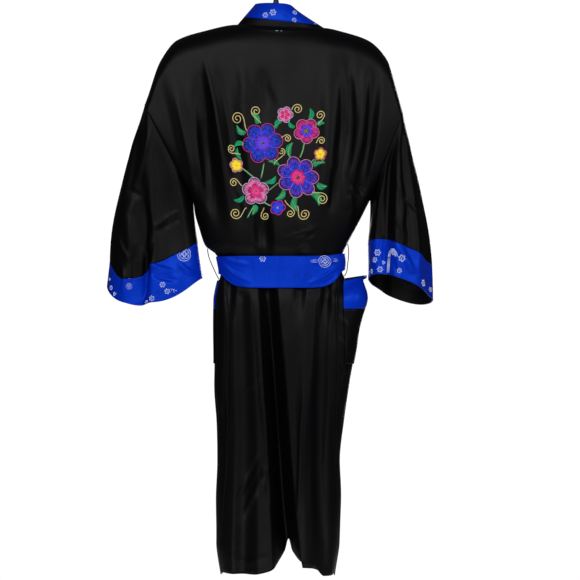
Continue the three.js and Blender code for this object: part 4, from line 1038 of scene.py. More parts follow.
def inside_seams(grid, margin):
    """1 in a grid's middle and 0 at its two sides, over a margin given as a share of its width."""
    share = np.linspace(0, 1, grid.shape[1])
    return ease(share / margin) * ease((1 - share) / margin)


def even_out(grid):
    """The cloth runs smoothly past the underarm, away from its seams."""
    height = grid[..., 2].mean(axis=1)
    weight = np.exp(-(((height[:, None] - height) / EVEN_REACH) ** 2) / 2) * np.abs(np.gradient(height))
    weight /= weight.sum(axis=1, keepdims=True)
    inside = inside_seams(grid, EVEN_MARGIN)
    near = ease(1 - np.abs(height - UNDERARM) / EVEN_SPREAD)[:, None]
    for k in (0, 1):
        grid[..., k] += (weight @ grid[..., k] - grid[..., k]) * near * inside
    return grid


def keep_off_shoulder(grid, face):
    top = grid[0]
    top[np.abs(top[:, 1]) < TRIM, 1] = face * TRIM


def body_hold(grid):
    """How freely the body's cloth may crease: not at its seams, and not under the belt."""
    belted = np.exp(-(((grid[..., 2] - BELT_MIDDLE) / BELT_HOLD) ** 4))
    steps = np.arange(len(grid))[:, None]
    return (1 - belted) * inside_seams(grid, SEAM_HOLD) * ease(steps / SHOULDER_HOLD)


def back_panel():
    grid = even_out(draw_up_hem(evenly(back_lines(), BACK_COLUMNS, (TRIM, TRIM))))
    keep_off_shoulder(grid, -1)
    grid = press(grid, back_out, BACK_CREASES, [], keep=body_hold(grid))
    cloth("back_panel", grid, back_out, "satin")


def let_down(grid, share=1):
    """The lowest part of a front reaches down to the front's own hem."""
    low = np.clip((FRONT_LOW - grid[..., 2]) / (FRONT_LOW - HEM), 0, 1)
    grid[..., 2] += (FRONT_HEM - HEM) * low * share


def front_grid(side, columns=FRONT_COLUMNS):
    grid = even_out(evenly(front_lines(side)[0], columns, (TRIM, TRIM)))
    keep_off_shoulder(grid, 1)
    let_down(grid, ease(3 * np.linspace(0, 1, columns + 1)))
    keep = body_hold(grid)
    if side == "right":
        # Where the over front covers it, less pressing keeps the two apart.
        keep = keep * (1 - 0.8 * lapped(grid[..., 0], grid[..., 2]))
    return press(grid, front_out, BACK_CREASES, FRONT_CREASES, keep=keep)


def band_grid(side):
    grid = evenly(front_lines(side)[1], BAND_COLUMNS, (TRIM, 0))[UPPER.searchsorted(COLLAR["end"]) :]
    let_down(grid)
    return grid


def sleeve_ring(ring, droop, count):
    (outer_x, outer_z), (inner_x, inner_z) = ring["outer"], ring["inner"]
    a = np.linspace(0, 2 * np.pi, 2 * FINE + 1)
    c, s = np.cos(a), np.sin(a)
    across = (1 - signed_power(c, 2 / SLEEVE_CORNER)) / 2
    depth = signed_power(s, 2 / SLEEVE_CORNER)
    power = np.where(c > 0, droop[0], droop[1])
    z = mix(outer_z, inner_z, across) + ring["rise"] * signed_power(depth, power)
    line = np.stack([mix(outer_x, inner_x, across), ring["y"] - ring["half"] * depth, z], -1)
    return evenly(line[None], count)[0, :-1]


def armhole_ring(side, count):
    """The armhole seam as a ring, from the shoulder down the back and up the front."""
    turn = np.arange(count) / count
    steps = np.linspace(0, 1, len(ARMHOLE_SHARES))
    share = np.interp(1 - np.abs(1 - 2 * turn), steps, ARMHOLE_SHARES)[:, None]
    x = armhole_x(side, share)
    back, front = upper_point(-1, side, share, x), upper_point(1, side, share, x)
    return np.where((turn < 0.5)[:, None], back[:, 0], front[:, 0])


def sleeve_grid(side, steps, count=SLEEVE_COLUMNS):
    """A sleeve's surface: steps run from 0 at the armhole to 1 at the cuff seam and 2 at its end."""
    sleeve = SLEEVES[side]
    armhole = armhole_ring(side, count)
    seam, end = (sleeve_ring(sleeve[key], sleeve["droop"], count) for key in ("seam", "end"))
    middles = [mix(ring[0], ring[count // 2], 0.5) for ring in (armhole, seam, end)]
    out = -1 if side == "left" else 1
    t = np.array(steps)[:, None, None]
    turn = np.arange(count) / count
    upper = np.clip(t, 0, 1)
    ratio = np.linalg.norm(seam - armhole, axis=1) / np.linalg.norm(end - seam, axis=1)
    grid = hermite(upper, armhole, seam, seam - armhole, (end - seam) * ratio[:, None])
    facing = np.cos(2 * np.pi * turn)
    swell = sleeve["bulge"][0] * np.maximum(0, facing) + sleeve["bulge"][1] * np.maximum(0, -facing)
    grid[..., 0] += out * (4 * upper * (1 - upper))[..., 0] * swell
    grid = np.where(t <= 1, grid, mix(seam, end, t - 1))
    centre = np.where(t <= 1, mix(middles[0], middles[1], t), mix(middles[1], middles[2], t - 1))
    inward = (centre - grid) * (1, 1, 0)
    inward /= np.linalg.norm(inward, axis=-1, keepdims=True)
    for at, wide, start, stop, depth, sag in SLEEVE_FOLDS[side]:
        along = np.clip((t[..., 0] - start) / (stop - start), 0, 1)
        off = np.abs((turn - at + 0.5) % 1 - 0.5) / wide
        swell = np.sin(np.pi * along) * ease(t[..., 0] * 4) * np.where(off < 1, (1 - off**2) ** 2, 0)
        grid = grid + inward * (depth * swell)[..., None]
        grid[..., 2] -= sag * swell
    grid = np.roll(grid, -count // 2, axis=1)
    behind, before = SLEEVE_BACK_CREASES[side] + CUFF_CREASES[side], SLEEVE_FRONT_CREASES[side]
    return press(grid, sleeve_out(side), behind, before, closed=True, keep=ease(t[..., 0] * 4))


def sleeve_out(side):
    return lambda points: (points - np.array(SLEEVE_MIDDLE[side])) * (1, 1, 0)


def sleeve_and_cuff(side):
    steps = [np.linspace(*SLEEVE_STEPS, SLEEVE_ROWS), np.linspace(*CUFF_STEPS, CUFF_ROWS)]
    grid = sleeve_grid(side, np.concatenate(steps))
    out = sleeve_out(side)
    cloth(f"sleeve_{side}_cloth", grid[:SLEEVE_ROWS], out, "satin", closed=True)
    cloth(f"cuff_{side}_cloth", grid[SLEEVE_ROWS:], out, "brocade", closed=True)


def collar_stations():
    """The collar's seam line and free edge: up the left front, round the back neck, down the right front."""
    upper_shares = ARMHOLE_SHARES[:5]

    def front(side, share):
        panel, band = front_lines(side, share, [])
        foot, free = panel[:, -1], band[:, -1]
        flat = ease(np.interp(share, upper_shares, range(5)) / 4)[:, None]
        k = LEFT_RIGHT.index(side)
        turned = foot + (COLLAR["lean"][k] * (1, -1)[k], 4, COLLAR["rise"][2 * k])
        roll = COLLAR["roll"] * (1 - flat[:, 0]) * np.minimum(1, 3 * flat[:, 0])
        return foot, mix(turned, free, flat), roll

    shares = np.interp(np.linspace(0.05, 4, COLLAR_FRONT), range(5), upper_shares)
    across = close_at_ends(np.linspace(0, 1, COLLAR_BACK))
    foot = upper_point(-1, "back", np.zeros((1, 1)), mix(NECK["left"], NECK["right"], across)[None])[0]
    off = 2 * across - 1
    k = (off > 0).astype(int)
    lean = -np.sign(off) * np.array(COLLAR["lean"])[k] * np.abs(off) ** 1.3
    rise = mix(COLLAR["rise"][1], np.array(COLLAR["rise"])[2 * k], off**2)
    back = foot, foot + np.stack([lean, np.full_like(lean, 4), rise], -1), COLLAR["roll"] * (1 - off**6)
    sides = [front(side, shares) for side in LEFT_RIGHT]
    stations = {
        key: np.concatenate([left[::-1], middle, right])
        for key, left, middle, right in zip(("foot", "edge", "roll"), sides[0], back, sides[1])
    }
    none, all_of_it = np.zeros(COLLAR_FRONT), np.ones(COLLAR_FRONT)
    stations["stand"] = np.concatenate([none, mix(*COLLAR["stand"], across) / rise, none])
    stations["front"] = np.concatenate([all_of_it, np.zeros(COLLAR_BACK), all_of_it])
    return stations


def collar_grid(stations, start, stop, count):
    t = mix(start, stop, np.linspace(0, 1, count + 1)[:, None])
    front = stations["front"][:, None]
    out = np.where(front > 0, np.array(COLLAR_TURN["front"]), np.array(COLLAR_TURN["back"]))
    place = mix(stations["foot"], stations["edge"], t[..., None])
    return place + out * (np.sin(np.pi * t) * stations["roll"])[..., None]


def collar():
    stations = collar_stations()
    cloth("collar_cloth", collar_grid(stations, stations["stand"], 1, COLLAR_ROWS), round_middle, "brocade")


def collar_stand():
    kept = slice(COLLAR_FRONT + 2, COLLAR_FRONT + COLLAR_BACK - 2)
    stations = {key: rows[kept] for key, rows in collar_stations().items()}
    grid = collar_grid(stations, -STAND_LAP[0], stations["stand"] + STAND_LAP[1], STAND_ROWS)
    cloth("collar_stand_cloth", grid, round_middle, "satin", facing_black)


def pocket_grid(side, top, bottom):
    """A pocket lies on its front's own points, moved out, and its mouth stands open."""
    start, stop, gape = POCKETS[side]
    grid = front_grid(side, POCKET_FINE)
    normals = grid_normals(grid, front_out)
    columns = np.arange(round(start * POCKET_FINE), round(stop * POCKET_FINE) + 1)
    wanted = np.linspace(top, bottom, POCKET_ROWS)
    rows = np.interp(-wanted, -LOWER, np.arange(len(UPPER), len(UPPER) + len(LOWER)))
    low = np.floor(rows).astype(int)
    part = (rows - low)[:, None, None]
    place = mix(grid[low][:, columns], grid[low + 1][:, columns], part)
    normal = mix(normals[low][:, columns], normals[low + 1][:, columns], part)
    normal /= np.linalg.norm(normal, axis=-1, keepdims=True)
    share = np.linspace(0, 1, len(columns)) / POCKET["mouth"]
    fall = np.clip((wanted - POCKET["bottom"]) / (POCKET["top"] - POCKET["bottom"]), 0, 1)[:, None]
    arch = np.where(share < 1, np.abs(np.sin(np.pi * np.minimum(share, 1))) ** 1.2, 0)
    opened = gape * fall ** POCKET["taper"] * arch
    return place + normal * (WALL + POCKET["clear"] + opened)[..., None]


def pockets(side):
    band = pocket_grid(side, POCKET["top"], POCKET["band_bottom"] + TRIM)
    patch = pocket_grid(side, POCKET["band_bottom"] - TRIM, POCKET["bottom"])
    cloth(f"pocket_band_{side}_cloth", band, front_out, "brocade")
    cloth(f"pocket_{side}_cloth", patch, front_out, "satin")


def belt_grid():
    a = np.pi / 2 + 2 * np.pi * np.arange(2 * FINE + 1) / (2 * FINE)
    c, s = np.cos(a), np.sin(a)
    sides = ease(np.abs(c) ** 2.6)
    edges = []
    for key in ("top", "bottom"):
        left, back, right, front = BELT_EDGES[key]
        edges.append(mix(np.where(s < 0, back, front), np.where(c < 0, left, right), sides))
    share = np.linspace(0, 1, BELT_ROWS)[:, None]
    z = mix(edges[0], edges[1], share)
    left, right = PLAN["left"](z), PLAN["right"](z)
    corner = BELT["corner"] * np.abs(np.sin(2 * a)) ** 0.7 + BELT["right"] * np.maximum(0, c) ** 4
    clear = BELT["clear"] + corner + BELT["flare"] * share**3
    out = clear + BELT["thick"] + BELT["crown"] * np.sin(np.pi * share)
    x = (left + right) / 2 + ((right - left) / 2 + out) * signed_power(c, 2 / CORNER)
    depth = np.where(s < 0, PLAN["back"](z), PLAN["front"](z)) + out
    line = np.stack([x, depth * signed_power(s, 2 / CORNER), z], -1)
    return evenly(line, BELT_COLUMNS)[:, :-1]


def belt():
    grid = press(belt_grid(), round_middle, BELT_CREASES, [], closed=True, keep=0.9)
    cloth("belt_cloth", grid, round_middle, "brocade", thick=BELT["thick"], closed=True)


BELT_DEPTH = BELT["clear"] + BELT["thick"] + BELT["crown"]
KNOT_Y = float(PLAN["front"](KNOT["z"])) + BELT_DEPTH + SEAM + KNOT["deep"]
KNOT_MIDDLE = np.array((KNOT["x"], KNOT_Y, KNOT["z"]))


def belt_end_grid(side):
    end = BELT_ENDS[side]
    t, off = np.linspace(0, 1, BELT_END_ROWS)[:, None], np.linspace(-1, 1, BELT_END_COLUMNS)
    z = KNOT["z"] - KNOT["high"] - SEAM - t * end["length"]
    middle = mix(end["x0"], end["x1"], ease(t)) + end["sway"] * np.sin(np.pi * 1.6 * t)
    reach = mix(BELT_PINCH, end["half"], ease(t * 2.6))
    hang = PLAN["front"](z) + end["clear"] + 2.5 * np.sin(5 * t)
    y = mix(KNOT_Y + end["forward"], hang, ease(t * 4))
    wave = 1.6 * np.sin(np.pi * off + 3 * t)
    cup = 4 * ease(t * 5) * (1 - ease(t * 2)) * np.cos(np.pi / 2 * off) + wave * ease(t * 5)
    return np.stack(np.broadcast_arrays(middle + off * reach, y + cup, z), -1)


def belt_end(side):
    grid = press(belt_end_grid(side), front_out, [], BELT_END_CREASES, keep=0.8)
    cloth(f"belt_end_{side}_cloth", grid, front_out, "brocade")


def turned(path, degrees):
    c, s = math.cos(math.radians(degrees)), math.sin(math.radians(degrees))
    path = np.asarray(path, float)
    return np.stack([path[:, 0] * c - path[:, 1] * s, path[:, 0] * s + path[:, 1] * c], -1)


def ring_path(radius, lobes=0, wave=0.0, steps=36, start=0.0, stop=360.0):
    a = np.radians(np.linspace(start, stop, steps + 1))
    r = radius * (1 - wave + wave * np.cos(lobes * a))
    return np.stack([r * np.cos(a), -r * np.sin(a)], -1)


def ornament(kind, width):
    """Lines of one woven ornament about its middle, each with its thread's width."""
    r = width / 2
    if kind == "blossom":
        return [(ring_path(r, 6, 0.24), 0.26 * r), (ring_path(0.16 * r, steps=6), 0.2 * r)]
    if kind == "bud":
        return [(ring_path(r, 3, 0.3, 18), 0.5 * r)]
    if kind == "medallion":
        lines = [(ring_path(r), 0.11 * r), (ring_path(0.76 * r, 12, 0.08, 60), 0.09 * r)]
        lines.append((ring_path(0.44 * r, 4, 0.3, 32), 0.14 * r))
        for k in range(8):
            spoke = turned([(0.52 * r, 0), (0.6 * r, 0), (0.67 * r, 0)], 22.5 + 45 * k)
            lines.append((spoke, 0.13 * r))
        return lines
    if kind == "bars":
        return [([(-r, y), (0, y), (r - abs(y), y)], 1.2) for y in (-2.6, 0, 2.6)]
    if kind == "arch":
        lines = []
        for inset in (0, 3.6, 7.2):
            bow = ring_path(r - inset, steps=20, stop=180)
            bow[:, 1] -= 0.45 * width
            leg = [(-r + inset, 0.55 * width), (-r + inset, 0.05 * width), (-r + inset, -0.42 * width)]
            lines += [(bow, 1.7), (leg, 1.7)]
        return lines
    lines = [([(-r, 0.2 * r), (-0.3 * r, -0.1 * r), (0.35 * r, 0.1 * r), (r, -0.25 * r)], 0.9)]
    for x, y, way in ((-0.5, 0, 60), (-0.1, -0.05, -55), (0.3, 0.1, 50), (0.6, -0.05, -50)):
        leaf = turned([(0, 0), (0.28 * r, 0.05 * r), (0.5 * r, 0)], way) + (x * r, y * r)
        lines.append((leaf, 0.12 * width))
    return lines


def charted(carrier):
    """Ornaments charted over a piece where the view from behind doesn't show it."""
    face = SURFACES[carrier]
    u, v = face["u"], face["v"]
    hidden = face["normals"][..., 1] > HIDDEN
    reach = int(np.abs(u).max() // CHART_STEP[0]) + 1
    marks = []
    for i in range(-reach, reach + 1):
        for j in range(int(v[-1] // CHART_STEP[1]) + 1):
            for k, (kind, along, down, width) in enumerate(CHART):
                along += i * CHART_STEP[0] + CHART_SHIFT * (j % 2) + CHART_START[0]
                down += j * CHART_STEP[1] + CHART_START[1]
                row = min(np.searchsorted(v, down), len(v) - 1)
                if down > v[-1] or not u[row, 0] < along < u[row, -1]:
                    continue
                column = np.searchsorted(u[row], along)
                if hidden[row, column] and not (kind == "medallion" and (i + j) % 2):
                    marks.append((kind, (row, column), width, 40 * k + 25 * i + 60 * j))
    return marks


def woven_ornaments():
    """The blue cloth's ornaments: at their places where the back shows them, charted over the rest."""
    for carrier in BLUE_PIECES:
        marks = [
            (kind, nearest_step(carrier, column, row), width, degrees)
            for kind, column, row, width, degrees in WOVEN_MARKS.get(carrier, [])
        ]
        runs = {"silver": [], "navy": []}
        for kind, at, width, degrees in marks + charted(carrier):
            found = runs["navy" if kind == "twig" else "silver"]
            for line, thick in ornament(kind, width):
                found.append((carrier, steps_about(carrier, at, turned(line, degrees)), thick))
        for colour, material in (("silver", silver_weft), ("navy", navy_weft)):
            if runs[colour]:
                name = f"{carrier.removesuffix('_cloth')}_{colour}_weft"
                strands(name, runs[colour], material)


# The embroidered spray, in mm across and up from the middle of its field. Flowers: middle, reach, petals,
# turn, rows of stitches (from share, to share, floss) and the floss of the outline.
FIELD = (276, 162)
FLOWERS = [
    (-28, 40, 43, 6, 10, [(0.06, 0.5, "violet"), (0.4, 0.8, "blue"), (0.7, 0.97, "blue")], "magenta"),
    (44, -32, 44, 7, 0, [(0.06, 0.45, "magenta"), (0.36, 0.72, "blue"), (0.64, 0.97, "violet")], "pink"),
    (-48, -62, 29, 5, 20, [(0.06, 0.6, "magenta"), (0.5, 0.97, "pink")], "lilac"),
    (64, 66, 27, 5, -15, [(0.18, 0.6, "violet"), (0.5, 0.97, "magenta")], "pink"),
    (18, 100, 17, 5, 0, [(0.15, 0.6, "magenta"), (0.5, 0.97, "pink")], "lilac"),
    (-86, -8, 15, 5, 30, [(0.1, 0.97, "yellow")], "pink"),
    (0, -96, 16, 5, 0, [(0.15, 0.97, "blue")], "magenta"),
    (94, 16, 14, 5, 12, [(0.1, 0.97, "yellow")], "magenta"),
]
# Leaves: root, way in degrees, length, half width and bend.
LEAVES = [
    (-56, 58, 150, 34, 7, 8), (-62, 34, 190, 30, 6, -7), (-40, 72, 112, 34, 7, -6), (-2, 66, 58, 30, 6, 6),
    (72, -14, 20, 34, 8, 8), (76, -40, -22, 30, 8, -6), (62, -60, -52, 40, 9, 8), (38, -66, -84, 38, 8, -8),
    (14, -52, -128, 34, 7, 7), (8, -8, 160, 28, 6, -5), (-70, -68, 205, 28, 6, 6), (-52, -80, 265, 32, 7, 6),
    (80, 72, 20, 24, 6, 5), (66, 84, 82, 30, 6, -6), (44, 72, 140, 24, 5, 5), (30, 8, 82, 34, 7, 6),
    (-28, -44, 30, 30, 6, -6), (-74, 4, 110, 26, 5, 5),
]
STEMS = [
    [(-66, -118), (-50, -90), (-42, -60), (-30, -20), (-24, 6)],
    [(-46, -76), (-20, -60), (6, -40), (14, -34)],
    [(-14, 68), (0, 78), (10, 84)],
    [(48, 4), (56, 24), (60, 46)],
    [(-38, -44), (-58, -26), (-76, -12)],
    [(-34, -84), (-18, -92), (-8, -90)],
    [(62, -10), (74, 0), (80, 6)],
]
# Curled tendrils: root, the curl's middle, reach, turns and way round.
TENDRILS = [
    ((-60, 62), (-84, 88), 13, 1.8, 1), ((-30, 76), (-44, 106), 11, 1.6, -1),
    ((20, 84), (44, 112), 11, 1.7, -1), ((82, 70), (92, 98), 10, 1.6, 1),
    ((84, 40), (96, 44), 8, 1.5, -1), ((70, -62), (92, -78), 12, 1.8, -1),
    ((40, -92), (58, -110), 12, 1.8, 1), ((14, -80), (28, -108), 9, 1.6, -1),
    ((-30, -96), (-26, -114), 9, 1.6, 1), ((-66, -96), (-90, -108), 12, 1.8, -1),
    ((-76, -50), (-94, -44), 9, 1.6, 1), ((-76, 14), (-96, 26), 9, 1.7, -1),
    ((0, 46), (24, 50), 8, 1.6, -1), ((-4, -6), (12, 22), 8, 1.6, 1),
]
FLOSS = {
    "blue": ((0.01, 0.03, 0.75), (0.05, 0.12, 1.0)),
    "violet": ((0.10, 0.03, 0.70), (0.24, 0.10, 1.0)),
    "lilac": ((0.60, 0.48, 1.0), (0.85, 0.75, 1.0)),
    "magenta": ((0.70, 0.01, 0.26), (1.0, 0.06, 0.46)),
    "pink": ((0.95, 0.16, 0.46), (1.0, 0.42, 0.68)),
    "green": ((0.002, 0.30, 0.12), (0.02, 0.70, 0.30)),
    "yellow": ((0.95, 0.70, 0.02), (1.0, 0.95, 0.10)),
    "gold": ((0.68, 0.52, 0.14), (1.0, 0.85, 0.40)),
}
STITCH = 1.15  # width of a satin stitch
ARMHOLE_CORD = 3.0
SHOULDER_CORD = 2.4
SEWN = {"length": 2.6, "gap": 1.2, "width": 0.55}  # running stitches of the seams
HEM_INSET = 45
EDGE_INSET = 3
# The two pale stitches across the back of the neck: columns they run between, and row.
NECK_STITCHES = [(275.5, 279.4, 30.4), (279.6, 283.2, 30.6)]


def flower_stitches(flower, draw):
    """Rows of satin stitches that run out from a flower's middle, and the floss of each."""
    x, y, reach, petals, turn, rows, outline = flower
    stitches = []

    def edge(a):
        return 0.7 + 0.3 * np.abs(np.cos(petals / 2 * (a - math.radians(turn)))) ** 0.7

    for inner, outer, floss in rows:
        count = int(2 * np.pi * reach * outer * 0.86 / (STITCH * 0.9))
        for a in np.arange(count) * 2 * np.pi / count:
            share = np.array([inner + 0.07 * draw.random(), 0, outer - 0.07 * draw.random()])
            share[1] = share[[0, 2]].mean()
            r = reach * edge(a) * share
            way = a + 0.05 * (draw.random() - 0.5)
            stitches.append((floss, polar((x, y), r, way), STITCH))
    a = np.linspace(0, 2 * np.pi, 18 * petals + 1)
    stitches.append((outline, polar((x, y), reach * edge(a), a), 1.6))
    for k in range(petals):
        way = math.radians(turn) + (2 * k + 1) * np.pi / petals
        stitches.append((outline, polar((x, y), reach * np.array([0.2, 0.45, 0.7]), way), 1.1))
    for k in range(int(reach * 0.5)):
        place = polar((x, y), reach * 0.055 * math.sqrt(k), 2.4 * k)
        stitches.append(("yellow", place + [(-0.8, 0), (0, 0.1), (0.8, 0)], 1.7))
    if reach > 20:
        for _ in range(int(reach * 1.6)):
            way, r = draw.random() * 2 * np.pi, reach * (0.4 + 0.45 * draw.random())
            length = 1.4 + draw.random()
            spot = np.array([(r, 0), (r + length / 2, 0), (r + length, 0)])
            stitches.append(("lilac", turned(spot, math.degrees(way)) + (x, y), 0.8))
    return stitches


def leaf_stitches(x, y, way, length, half, bend):
    """Slanting stitches out from a leaf's rib on both sides."""
    stitches = []
    steps = int(length / (STITCH * 0.85))
    for side in (-1, 1):
        for t in (np.arange(steps) + 0.5) / steps:
            reach = half * math.sin(math.pi * t) ** 0.75 * (1 - 0.25 * t)
            root = np.array([t * length, bend * math.sin(math.pi * t)])
            tip = root + (0.55 * reach, side * reach)
            path = turned(np.stack([root, (root + tip) / 2, tip]), way) + (x, y)
            stitches.append(("green", path, STITCH))
    t = np.linspace(0, 1, 8)
    rib = np.stack([t * length, bend * np.sin(np.pi * t)], -1)
    stitches.append(("gold" if half > 6.5 else "green", turned(rib, way) + (x, y), 0.9))
    return stitches


def tendril(root, middle, reach, turns, way):
    """A line that runs from its root into a curl."""
    root, middle = np.array(root, float), np.array(middle, float)
    towards = math.atan2(*(root - middle)[::-1])
    start = towards + way * 1.1
    a = start + way * np.linspace(0, 2 * np.pi * turns, int(26 * turns))
    curl = polar(middle, reach * np.linspace(1, 0.16, len(a)), a)
    reached, onward = curl[0] - root, curl[1] - curl[0]
    arrive = onward / np.linalg.norm(onward) * np.linalg.norm(reached)
    leave = reached * 0.6 + np.array((-reached[1], reached[0])) * 0.5 * way
    t = np.linspace(0, 1, 12, endpoint=False)[:, None]
    return np.concatenate([hermite(t, root, curl[0], leave, arrive), curl])


def clear_of_flowers(path):
    """What is left of a line outside the flowers."""
    free = np.ones(len(path), bool)
    for x, y, reach, *_ in FLOWERS:
        free &= np.hypot(path[:, 0] - x, path[:, 1] - y) > 0.93 * reach
    return stretches(path, free)


def embroider_back():
    draw = np.random.default_rng(7)
    stitches = []
    for line in STEMS:
        at = np.linspace(0, 1, len(line))
        fine = np.linspace(0, 1, 24)
        path = np.stack([np.interp(fine, at, [p[k] for p in line]) for k in (0, 1)], -1)
        path[1:-1] = (path[:-2] + path[1:-1] + path[2:]) / 3
        stitches += [("green", path, 2.0), ("gold", path + (1.5, 0.6), 1.0)]
    for leaf in LEAVES:
        stitches += leaf_stitches(*leaf)
    for row in TENDRILS:
        stitches.append(("gold", tendril(*row), 2.0))
    stitches = [
        (floss, part, width) for floss, path, width in stitches for part in clear_of_flowers(path)
    ]
    for flower in FLOWERS:
        stitches += flower_stitches(flower, draw)
    face = SURFACES["back_panel"]
    i, j = nearest_step("back_panel", *FIELD)
    origin = np.array((face["u"][i, j], face["v"][i]))
    for name, (dark, light) in FLOSS.items():
        material = plain_finish(f"floss_{name}", dark, light, 0.5, 700.0, 0.0001, Sheen_Weight=0.1)
        runs = [
            ("back_panel", steps_along("back_panel", origin + path * (1, -1)), width)
            for floss, path, width in stitches
            if floss == name
        ]
        strands(f"embroidery_{name}", runs, material)


def stitched(carrier, path):
    """Running stitches along a path on a piece's cloth."""
    run = np.concatenate([[0], np.cumsum(np.linalg.norm(np.diff(path, axis=0), axis=1))])
    runs = []
    for at in np.arange(0, run[-1] - SEWN["length"], SEWN["length"] + SEWN["gap"]):
        ends = at + np.array([0, 0.5, 1]) * SEWN["length"]
        place = np.stack([np.interp(ends, run, path[:, k]) for k in (0, 1)], -1)
        runs.append((carrier, steps_along(carrier, place), SEWN["width"]))
    return runs


def along_edge(carrier, inset, edge):
    """A path on a piece's cloth, inset from its top, bottom, left or right edge."""
    face = SURFACES[carrier]
    u, v = face["u"], face["v"]
    if edge in ("top", "bottom"):
        height = v[0] + inset if edge == "top" else v[-1] - inset
        row = min(np.searchsorted(v, height), len(v) - 1)
        return np.stack([u[row][2:-2], np.full(len(u[row]) - 4, height)], -1)
    side = u[1:-1, 0] + inset if edge == "left" else u[1:-1, -1] - inset
    return np.stack([side, v[1:-1]], -1)


def sew_seams():
    """Hem, band, cuff, pocket and belt stitches."""
    rows = [("back_panel", HEM_INSET, "bottom")]
    rows += [("collar_cloth", EDGE_INSET, edge) for edge in ("bottom", "top")]
    rows += [("belt_cloth", EDGE_INSET, edge) for edge in ("top", "bottom")]
    rows += [("collar_stand_cloth", EDGE_INSET, "top")]
    for side in LEFT_RIGHT:
        rows += [(f"front_{side}_panel", HEM_INSET, "bottom")]
        rows += [(f"front_band_{side}_cloth", EDGE_INSET, edge) for edge in ("left", "right")]
        rows += [(f"cuff_{side}_cloth", EDGE_INSET, "top"), (f"cuff_{side}_cloth", 4, "bottom")]
        rows += [(f"pocket_{side}_cloth", EDGE_INSET, edge) for edge in ("left", "right", "bottom")]
        rows += [(f"pocket_band_{side}_cloth", EDGE_INSET, edge) for edge in ("top", "bottom")]
        rows += [(f"belt_end_{side}_cloth", 2.5, edge) for edge in ("left", "right", "bottom")]
    runs = {}
    for carrier, inset, edge in rows:
        runs.setdefault(carrier, []).extend(stitched(carrier, along_edge(carrier, inset, edge)))
    for carrier, found in runs.items():
        name = carrier.removesuffix("_cloth")
        strands(f"{name}_stitches", found, navy_weft if carrier in BLUE_PIECES else seam_thread)
    for side in LEFT_RIGHT:
        carrier = f"sleeve_{side}_cloth"
        columns = SURFACES[carrier]["u"].shape[1] - 1
        ring = np.stack([np.full(2 * columns + 1, -0.1), np.linspace(0, columns, 2 * columns + 1)], -1)
        strands(f"armhole_seam_{side}", [(carrier, ring, ARMHOLE_CORD)], satin, -0.2)
        carrier = f"front_{side}_panel"
        columns = SURFACES[carrier]["u"].shape[1] - 1.2
        line = np.stack([np.zeros(200), np.linspace(0.2, columns, 200)], -1)
        strands(f"shoulder_seam_{side}", [(carrier, line, SHOULDER_CORD)], satin, 0)
    pale = []
    for first, last, row in NECK_STITCHES:
        start, end = nearest_step("back_panel", first, row), nearest_step("back_panel", last, row)
        pale.append(("back_panel", np.linspace(start, end, 5), 0.9))
    strands("neck_stitches", pale, silver_weft)


# How each cloth is held, by the start of its name, and what it hangs from or lies on; SIDE is its side.
HELD = {
    "collar_cloth": ("folded", "back_panel"),
    "collar_stand": ("hung", "back_panel"),
    "front_band": ("hung", "front_SIDE_panel"),
    "sleeve": ("hung", "back_panel"),
    "cuff": ("hung", "sleeve_SIDE_cloth"),
    "pocket_band": ("laid", "front_SIDE_panel"),
    "pocket": ("laid", "front_SIDE_panel"),
    "belt_cloth": ("folded", "back_panel"),
    "belt_end": ("hung", "belt_cloth"),
}


def declare_cloth():
    for name, sheet in SHEETS.items():
        start = next((key for key in HELD if name.startswith(key)), None)
        held, rests_on = HELD.get(start, ("hung", "hanger_arms"))
        rests_on = rests_on.replace("SIDE", "left" if "left" in name else "right")


def finish_hard_parts():
    """The hanger and the belt's loops keep their solids' shapes."""
    for name in ("hanger_arms", "hanger_hook", "belt_loop_left", "belt_loop_right"):
        for slot in bpy.data.objects[name].material_slots:
            slot.material = plastic if name.startswith("hanger") else thread


def knot_grid():
    """The belt's knot: a soft lump of pleated cloth."""
    a = np.linspace(0, 2 * np.pi, KNOT_COLUMNS, endpoint=False)
    b = np.linspace(-0.97, 0.97, KNOT_ROWS)[:, None] * np.pi / 2
    x = signed_power(np.cos(a), 0.8) * np.cos(b) ** 0.8 * KNOT["wide"]
    y = signed_power(np.sin(a), 0.9) * np.cos(b) ** 0.8 * KNOT["deep"]
    z = -signed_power(np.sin(b), 0.9) * KNOT["high"]
    wrap = np.exp(-(((z + 0.35 * x) / 11) ** 2))
    pleats = 0.9 * np.sin(0.9 * z - 0.25 * x + 2) * (1 - wrap) + 0.7 * np.sin(0.75 * (x - 0.35 * z)) * wrap
    swell = (0.9 + 0.1 * wrap + 0.03 * pleats)[..., None]
    return KNOT_MIDDLE + np.stack(np.broadcast_arrays(x, y, z), -1) * swell


def knot():
    grid = knot_grid()
    cloth("belt_knot_cloth", grid, lambda points: points - KNOT_MIDDLE, "brocade", thick=0, closed=True)
    bpy.ops.object.mode_set(mode="EDIT")
    bpy.ops.mesh.select_all(action="DESELECT")
    bpy.ops.mesh.select_non_manifold()
    bpy.ops.mesh.edge_face_add()
    bpy.ops.object.mode_set(mode="OBJECT")


def dress_the_body():
    back_panel()
    for side in LEFT_RIGHT:
        cloth(f"front_{side}_panel", front_grid(side), front_out, "satin")
        cloth(f"front_band_{side}_cloth", band_grid(side), front_out, "brocade")
        sleeve_and_cuff(side)
        pockets(side)
        belt_end(side)
    collar()
    collar_stand()
    belt()
    knot()


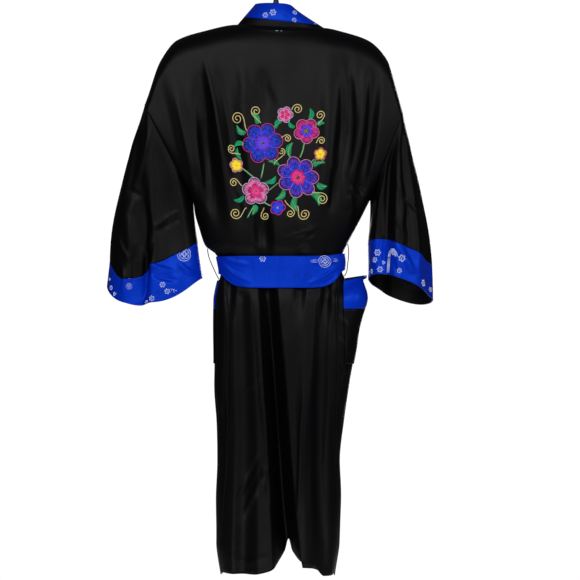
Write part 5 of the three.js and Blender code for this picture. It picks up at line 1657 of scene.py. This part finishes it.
def place_camera():
    bpy.ops.object.camera_add(location=[c * MM for c in CAMERA], rotation=(math.pi / 2, 0, 0))
    camera = bpy.context.object
    camera.data.sensor_fit = "HORIZONTAL"
    camera.data.sensor_width = SENSOR
    camera.data.lens = SENSOR * -CAMERA[1] / (VIEW["size"] * VIEW["pitch"])
    bpy.context.scene.camera = camera
    bpy.context.scene.view_settings.view_transform = "Standard"


def set_studio():
    bpy.ops.object.select_all(action="DESELECT")
    bpy.ops.mesh.primitive_plane_add(size=FLOOR_SIZE, location=(0, 0, FLOOR_HEIGHT))
    floor = bpy.context.object
    floor.name = "floor"
    bpy.ops.object.mode_set(mode="EDIT")
    bpy.ops.mesh.subdivide(number_cuts=1)
    bpy.ops.object.mode_set(mode="OBJECT")
    pale = plain_finish("pale_floor", (0.8, 0.8, 0.8), (0.86, 0.86, 0.86), 0.9, 6.0, 0.0005)
    floor.data.materials.append(pale)
    world = bpy.data.worlds.new("soft light")
    world.use_nodes = True
    nodes, links = world.node_tree.nodes, world.node_tree.links
    room, backdrop = nodes["Background"], nodes.new("ShaderNodeBackground")
    for light, strength in ((room, ROOM_LIGHT), (backdrop, BACKDROP_LIGHT)):
        light.inputs["Color"].default_value = (1, 1, 1, 1)
        light.inputs["Strength"].default_value = strength
    path, both = nodes.new("ShaderNodeLightPath"), nodes.new("ShaderNodeMixShader")
    links.new(path.outputs["Is Camera Ray"], both.inputs["Fac"])
    links.new(room.outputs["Background"], both.inputs[1])
    links.new(backdrop.outputs["Background"], both.inputs[2])
    links.new(both.outputs["Shader"], nodes["World Output"].inputs["Surface"])
    bpy.context.scene.world = world
    for name, place, size, power in LAMPS:
        bpy.ops.object.light_add(type="AREA", location=place)
        lamp = bpy.context.object
        lamp.name = name
        lamp.data.size = size
        lamp.data.energy = power
        lamp.rotation_euler = (Vector(AIM) - lamp.location).to_track_quat("-Z", "Y").to_euler()


place_camera()
dress_the_body()
woven_ornaments()
embroider_back()
sew_seams()
finish_hard_parts()
SHEETS["belt_cloth"]["sewn_on"].append(SHEETS.pop("belt_knot_cloth")["piece"])
declare_cloth()
set_studio()
